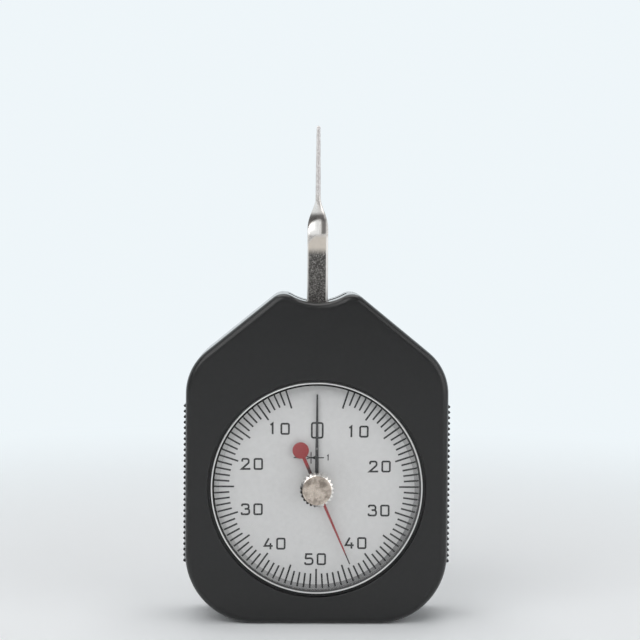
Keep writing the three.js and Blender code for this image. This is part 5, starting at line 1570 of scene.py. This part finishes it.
# %% [markdown]
# ## Crystal, skirt and gasket
# The crystal is clear plastic with fine scratches. Towards the dial's lower right its skirt is
# greyed as painted shade and the rubber gasket is lightened as a painted lit side, so that they show
# as a grey crescent. The skirt bends light far less than real plastic does, because its inner wall
# would otherwise mirror the dial and hide that crescent.

# %% Mix the crystal, its skirt and the gasket
def mix_crystal(material):
    finish = Finish(material, Base_Color=(1, 1, 1, 1), IOR=1.49, Transmission_Weight=1.0, Roughness=0.0)
    scratches = finish.effect("scratches", Lines_per_mm=3.0, Amount=0.25)["Mask"]
    finish.give("Roughness", finish.effect("smudges", Per_mm=0.1, Low=0.0, High=0.03)["Value"])
    finish.bumps((scratches, 0.04, 0.004))


def mix_skirt(material):
    finish = Finish(material, IOR=1.002, Transmission_Weight=1.0, Roughness=0.0)
    grain = finish.effect("grain", Cells_per_mm=4.0)
    unshaded_tint = finish.mix(grain["Tone"], (0.975, 0.975, 0.97), (1.0, 1.0, 0.995))
    # painted shade: the skirt greys towards the dial's lower right
    skirt_painted_shade = finish.effect("lower_right", From=GREY_FROM, To=GREY_FULL)["Share"]
    finish.give("Base Color", finish.mix(skirt_painted_shade, unshaded_tint, (0.46, 0.46, 0.465)))
    finish.bumps((grain["Height"], 0.1, 0.01))


def mix_rubber(material):
    finish = Finish(material, Roughness=0.5, Specular_IOR_Level=0.3)
    grain = finish.effect("grain", Cells_per_mm=6.0)
    black = finish.mix(grain["Tone"], (0.003, 0.003, 0.003), (0.006, 0.006, 0.006))
    # painted light: the gasket lightens towards the dial's lower right
    gasket_painted_light = finish.effect("lower_right", From=GREY_FROM, To=GREY_FULL)["Share"]
    finish.give("Base Color", finish.mix(gasket_painted_light, black, (0.10, 0.10, 0.10)))
    finish.bumps((grain["Height"], 0.3, 0.01))


clear_plastic = bpy.data.materials.new("clear_plastic")
frosted_clear = bpy.data.materials.new("frosted_clear")
black_rubber = bpy.data.materials.new("black_rubber")
mix_crystal(clear_plastic)
mix_skirt(frosted_clear)
mix_rubber(black_rubber)
print("mixed", clear_plastic.name, frosted_clear.name, black_rubber.name)

# %% [markdown]
# ## The metals inside
# Brass plates, steel arbors and a blued spring fill the case. They are hardly seen, yet a finish
# costs little: brass dulls in warm patches, steel keeps fine turning lines, and blued steel shifts
# between blue and straw. The drag pin is darker steel, and the screws' slots are darkened towards
# their floor as painted shade.

# %% Mix brass, steel and blued steel
# the colour of the painted shade in the screws' slots, and how deep into the slot it begins
SLOT_SHADE = (0.012, 0.011, 0.010)
SLOT_SHADE_START_SHARE = 0.6


def shade_slot_floor(material):
    """Darkens the floor of a screw's slot as painted shade."""
    finish = Finish(material)
    depth = finish.add("ShaderNodeSeparateXYZ", finish.place()).outputs[1]
    # painted shade: darker towards the floor of the slot
    slot_shade = finish.ranged(depth, (SCREW_TOP_Y - SCREW_SLOT_DEPTH * SLOT_SHADE_START_SHARE) * MM,
                         (SCREW_TOP_Y - SCREW_SLOT_DEPTH) * MM)
    finish.give("Base Color", finish.mix(slot_shade, finish.given("Base Color"), SLOT_SHADE))


brass = bpy.data.materials.new("brass")
steel = bpy.data.materials.new("steel")
blued_steel = bpy.data.materials.new("blued_steel")
pin_metal = bpy.data.materials.new("pin_metal")
mix_nickel(brass, (0.62, 0.44, 0.18), (0.38, 0.24, 0.09),
           cover=0.45, specks=0.2, rough=(0.25, 0.4), patch=0.3)
mix_nickel(steel, (0.50, 0.51, 0.53), (0.32, 0.31, 0.30),
           cover=0.4, specks=0.3, rough=(0.25, 0.38))
mix_nickel(screw_steel, (0.46, 0.46, 0.47), (0.26, 0.24, 0.22),
           cover=0.5, specks=0.4, rough=(0.25, 0.4), patch=0.9)
mix_nickel(blued_steel, (0.06, 0.09, 0.22), (0.20, 0.16, 0.10),
           cover=0.4, specks=0.2, rough=(0.2, 0.35))
mix_nickel(pin_metal, (0.24, 0.235, 0.23), (0.12, 0.115, 0.11),
           cover=0.5, specks=0.4, rough=(0.35, 0.45))
shade_slot_floor(screw_steel)
print("mixed", brass.name, steel.name, screw_steel.name, blued_steel.name, pin_metal.name)

# %% [markdown]
# ## Finishes on the pieces
# A finish belongs on every surface, also on the solids that stay as they were packed. New pieces
# get theirs by a list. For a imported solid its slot's name, kept in the record, says which one.

# %% Give every piece its finish
def paint(piece, material):
    piece.data.materials.clear()
    piece.data.materials.append(material)


for piece, material in (
    (front_cover, moulded_plastic), (rear_cover, moulded_plastic), (bezel_ring, ring_nickel),
    (crystal, clear_plastic), (crystal_skirt, frosted_clear), (gasket, black_rubber),
    (crystal_bush, brass), (dial_plate, dial_paint), (dial_numbers, dial_ink),
    (graduation_mark, dial_ink), (scale_lines, dial_ink), (black_pointer, black_paint),
    (red_pointer, red_paint), (drag_pin, pin_metal), (reset_knob, nickel_plate),
    (feeler_lever, lever_metal), (case_screws, screw_steel),
    *((ridge, moulded_plastic) for ridge in ridges),
):
    paint(piece, material)
SLOT_FINISH = {"plastic": moulded_plastic, "nickel": nickel_plate, "brass": brass, "steel": steel,
               "spring_steel": blued_steel, "clear": clear_plastic, "dial_paint": dial_paint,
               "black_paint": black_paint, "red_paint": red_paint}
slot_of = {row["node"]: row["material_slot"] for row in frame["record"]["subparts"]}
for node, piece in frame["nodes"].items():
    for slot in piece.material_slots:
        slot.material = SLOT_FINISH[slot_of[node]]
print("finishes on", len(frame["nodes"]), "packed nodes")

# %% [markdown]
# ## What each piece stands for
# The imported model keeps the joints. Every new piece rides on the body whose node it stands for, so
# it moves as the real one would: the case stays, the lever swings, and the pointers turn. The
# crystal and the knob throw no shadow on the dial, as under the wide soft light of the picture.

# %% Ride and replace
RIDES = [
    (front_cover, "case", "plastic", ["front_cover"]),
    (rear_cover, "case", "plastic", ["rear_cover"]),
    (bezel_ring, "case", "nickel", ["bezel_ring"]),
    (crystal, "case", "clear", ["crystal"]),
    (crystal_skirt, "case", "clear", ["crystal"]),
    (gasket, "case", "black_paint", []),
    (crystal_bush, "case", "brass", ["crystal_bush"]),
    (dial_plate, "case", "dial_paint", ["dial_plate"]),
    (scale_lines, "case", "black_paint", []),
    (dial_numbers, "case", "black_paint", []),
    (graduation_mark, "case", "black_paint", []),
    (black_pointer, "pointer", "black_paint", ["black_pointer"]),
    (drag_pin, "pointer", "nickel", ["drag_pin"]),
    (red_pointer, "drag_hand", "red_paint", ["drag_pointer"]),
    (reset_knob, "drag_hand", "nickel", ["reset_knob"]),
    (feeler_lever, "lever", "nickel", ["feeler_lever"]),
    (case_screws, "case", "steel", [f"case_screw_{k}" for k in (1, 2, 3, 4)]),
    *((ridge, "case", "plastic", []) for ridge in ridges),
]
for piece, body, slot, nodes in RIDES:
    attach(piece, body)
    if nodes:
        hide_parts(*nodes)
for piece in (crystal, crystal_skirt):
    piece.visible_shadow = False
    piece.visible_diffuse = False
reset_knob.visible_shadow = False
print("pieces riding:", len(RIDES))

# %% [markdown]
# ## The floor
# The gauge stands on a plain pale floor that rises into a round backdrop far behind, so no horizon
# shows. It is a profile swept round the gauge. Far off, the paper also glows a little for the rays
# that look at it, as a backdrop with its own lamp would, and near the gauge it is plain paper.

# %% Sweep the floor up into a backdrop
FLOOR_RADIUS, BEND_RADIUS, WALL_TOP = 1100, 500, 2200
FLOOR_RINGS, BEND_STEPS, FLOOR_SIDES = 6, 16, 96
BACKDROP_COLOUR = (0.86, 0.92, 0.95)
GLOW_BEHIND, GLOW_FAR = (-100, 500), (80, 360)


def swept_floor():
    turns = [math.pi / 2 * k / BEND_STEPS for k in range(BEND_STEPS + 1)]
    profile = [(FLOOR_RADIUS * k / FLOOR_RINGS, 0) for k in range(1, FLOOR_RINGS)]
    profile += [(FLOOR_RADIUS + BEND_RADIUS * math.sin(a), BEND_RADIUS * (1 - math.cos(a)))
                for a in turns]
    profile += [(FLOOR_RADIUS + BEND_RADIUS, WALL_TOP)]
    sides = [math.tau * k / FLOOR_SIDES for k in range(FLOOR_SIDES)]
    points = [(0, 0, 0)]
    for radius, height in profile:
        points += [(radius * MM * math.cos(a), radius * MM * math.sin(a), height * MM) for a in sides]
    faces = [(0, 1 + k, 1 + (k + 1) % FLOOR_SIDES) for k in range(FLOOR_SIDES)]
    for row in range(len(profile) - 1):
        a, b = 1 + row * FLOOR_SIDES, 1 + (row + 1) * FLOOR_SIDES
        for k in range(FLOOR_SIDES):
            after = (k + 1) % FLOOR_SIDES
            faces.append((a + k, b + k, b + after, a + after))
    mesh = bpy.data.meshes.new("studio_floor")
    mesh.from_pydata(points, [], faces)
    for face in mesh.polygons:
        face.use_smooth = True
    floor = bpy.data.objects.new("studio_floor", mesh)
    scene.collection.objects.link(floor)
    return floor


def mix_backdrop(material):
    """Plain paper near the gauge; far off it glows by itself for the rays that look at it."""
    mix_paint(material, (0.85, 0.865, 0.875), (0.88, 0.895, 0.905),
              rough=0.8, cells=0.02, bump=0.02, spec=0.2)
    finish = Finish(material)
    place = finish.place()
    depth = finish.add("ShaderNodeSeparateXYZ", place).outputs["Y"]
    path = finish.add("ShaderNodeLightPath").outputs
    bounced = finish.math("ADD", path["Is Glossy Ray"], path["Is Transmission Ray"], use_clamp=True)
    mirrored = finish.product(bounced, finish.zone(depth, GLOW_BEHIND))
    seen = finish.math("ADD", path["Is Camera Ray"], mirrored, use_clamp=True)
    far = finish.product(finish.zone(finish.measured("LENGTH", place), GLOW_FAR), seen)
    glow = finish.add("ShaderNodeEmission", (*BACKDROP_COLOUR, 1))
    both = finish.add("ShaderNodeMixShader", far, finish.shader.outputs[0], glow.outputs[0])
    finish.feed(finish.tree.nodes["Material Output"].inputs["Surface"], both.outputs[0])


floor = swept_floor()
floor_paper = bpy.data.materials.new("floor_paper")
mix_backdrop(floor_paper)
paint(floor, floor_paper)
print("floor radius in mm:", FLOOR_RADIUS)

# %% [markdown]
# ## The light
# Large soft boxes light the gauge from the upper left, the right and above, as for a catalogue
# picture, and the world adds an even fill. Each box is turned towards the point it lights.

# %% Hang the soft boxes
WORLD_STRENGTH = 0.34
SOFT_BOXES = [
    # name, place, where it points, width, height, power
    ("key_box", (-450, -620, 620), (0, 0, 50), 780, 780, 3.7),
    ("fill_box", (620, -480, 260), (0, 0, 50), 700, 780, 2.3),
    ("top_box", (0, 150, 800), (0, 0, 60), 700, 500, 2.4),
]
for name, place, target, width, height, power in SOFT_BOXES:
    data = bpy.data.lights.new(name, "AREA")
    data.shape = "RECTANGLE"
    data.size, data.size_y = width * MM, height * MM
    data.energy = power
    light = bpy.data.objects.new(name, data)
    turn = (Vector(target) - Vector(place)).to_track_quat("-Z", "Y").to_matrix().to_4x4()
    light.matrix_world = Matrix.Translation(Vector(place) * MM) @ turn
    light.visible_camera = False
    scene.collection.objects.link(light)
world = bpy.data.worlds.new("studio_world")
scene.world = world
world.use_nodes = True
background = world.node_tree.nodes["Background"]
background.inputs["Color"].default_value = (1.0, 1.0, 1.0, 1)
background.inputs["Strength"].default_value = WORLD_STRENGTH

# %% [markdown]
# ## The last step
# The imported model and the dressed scene have to fill the same box.


print("scene built")
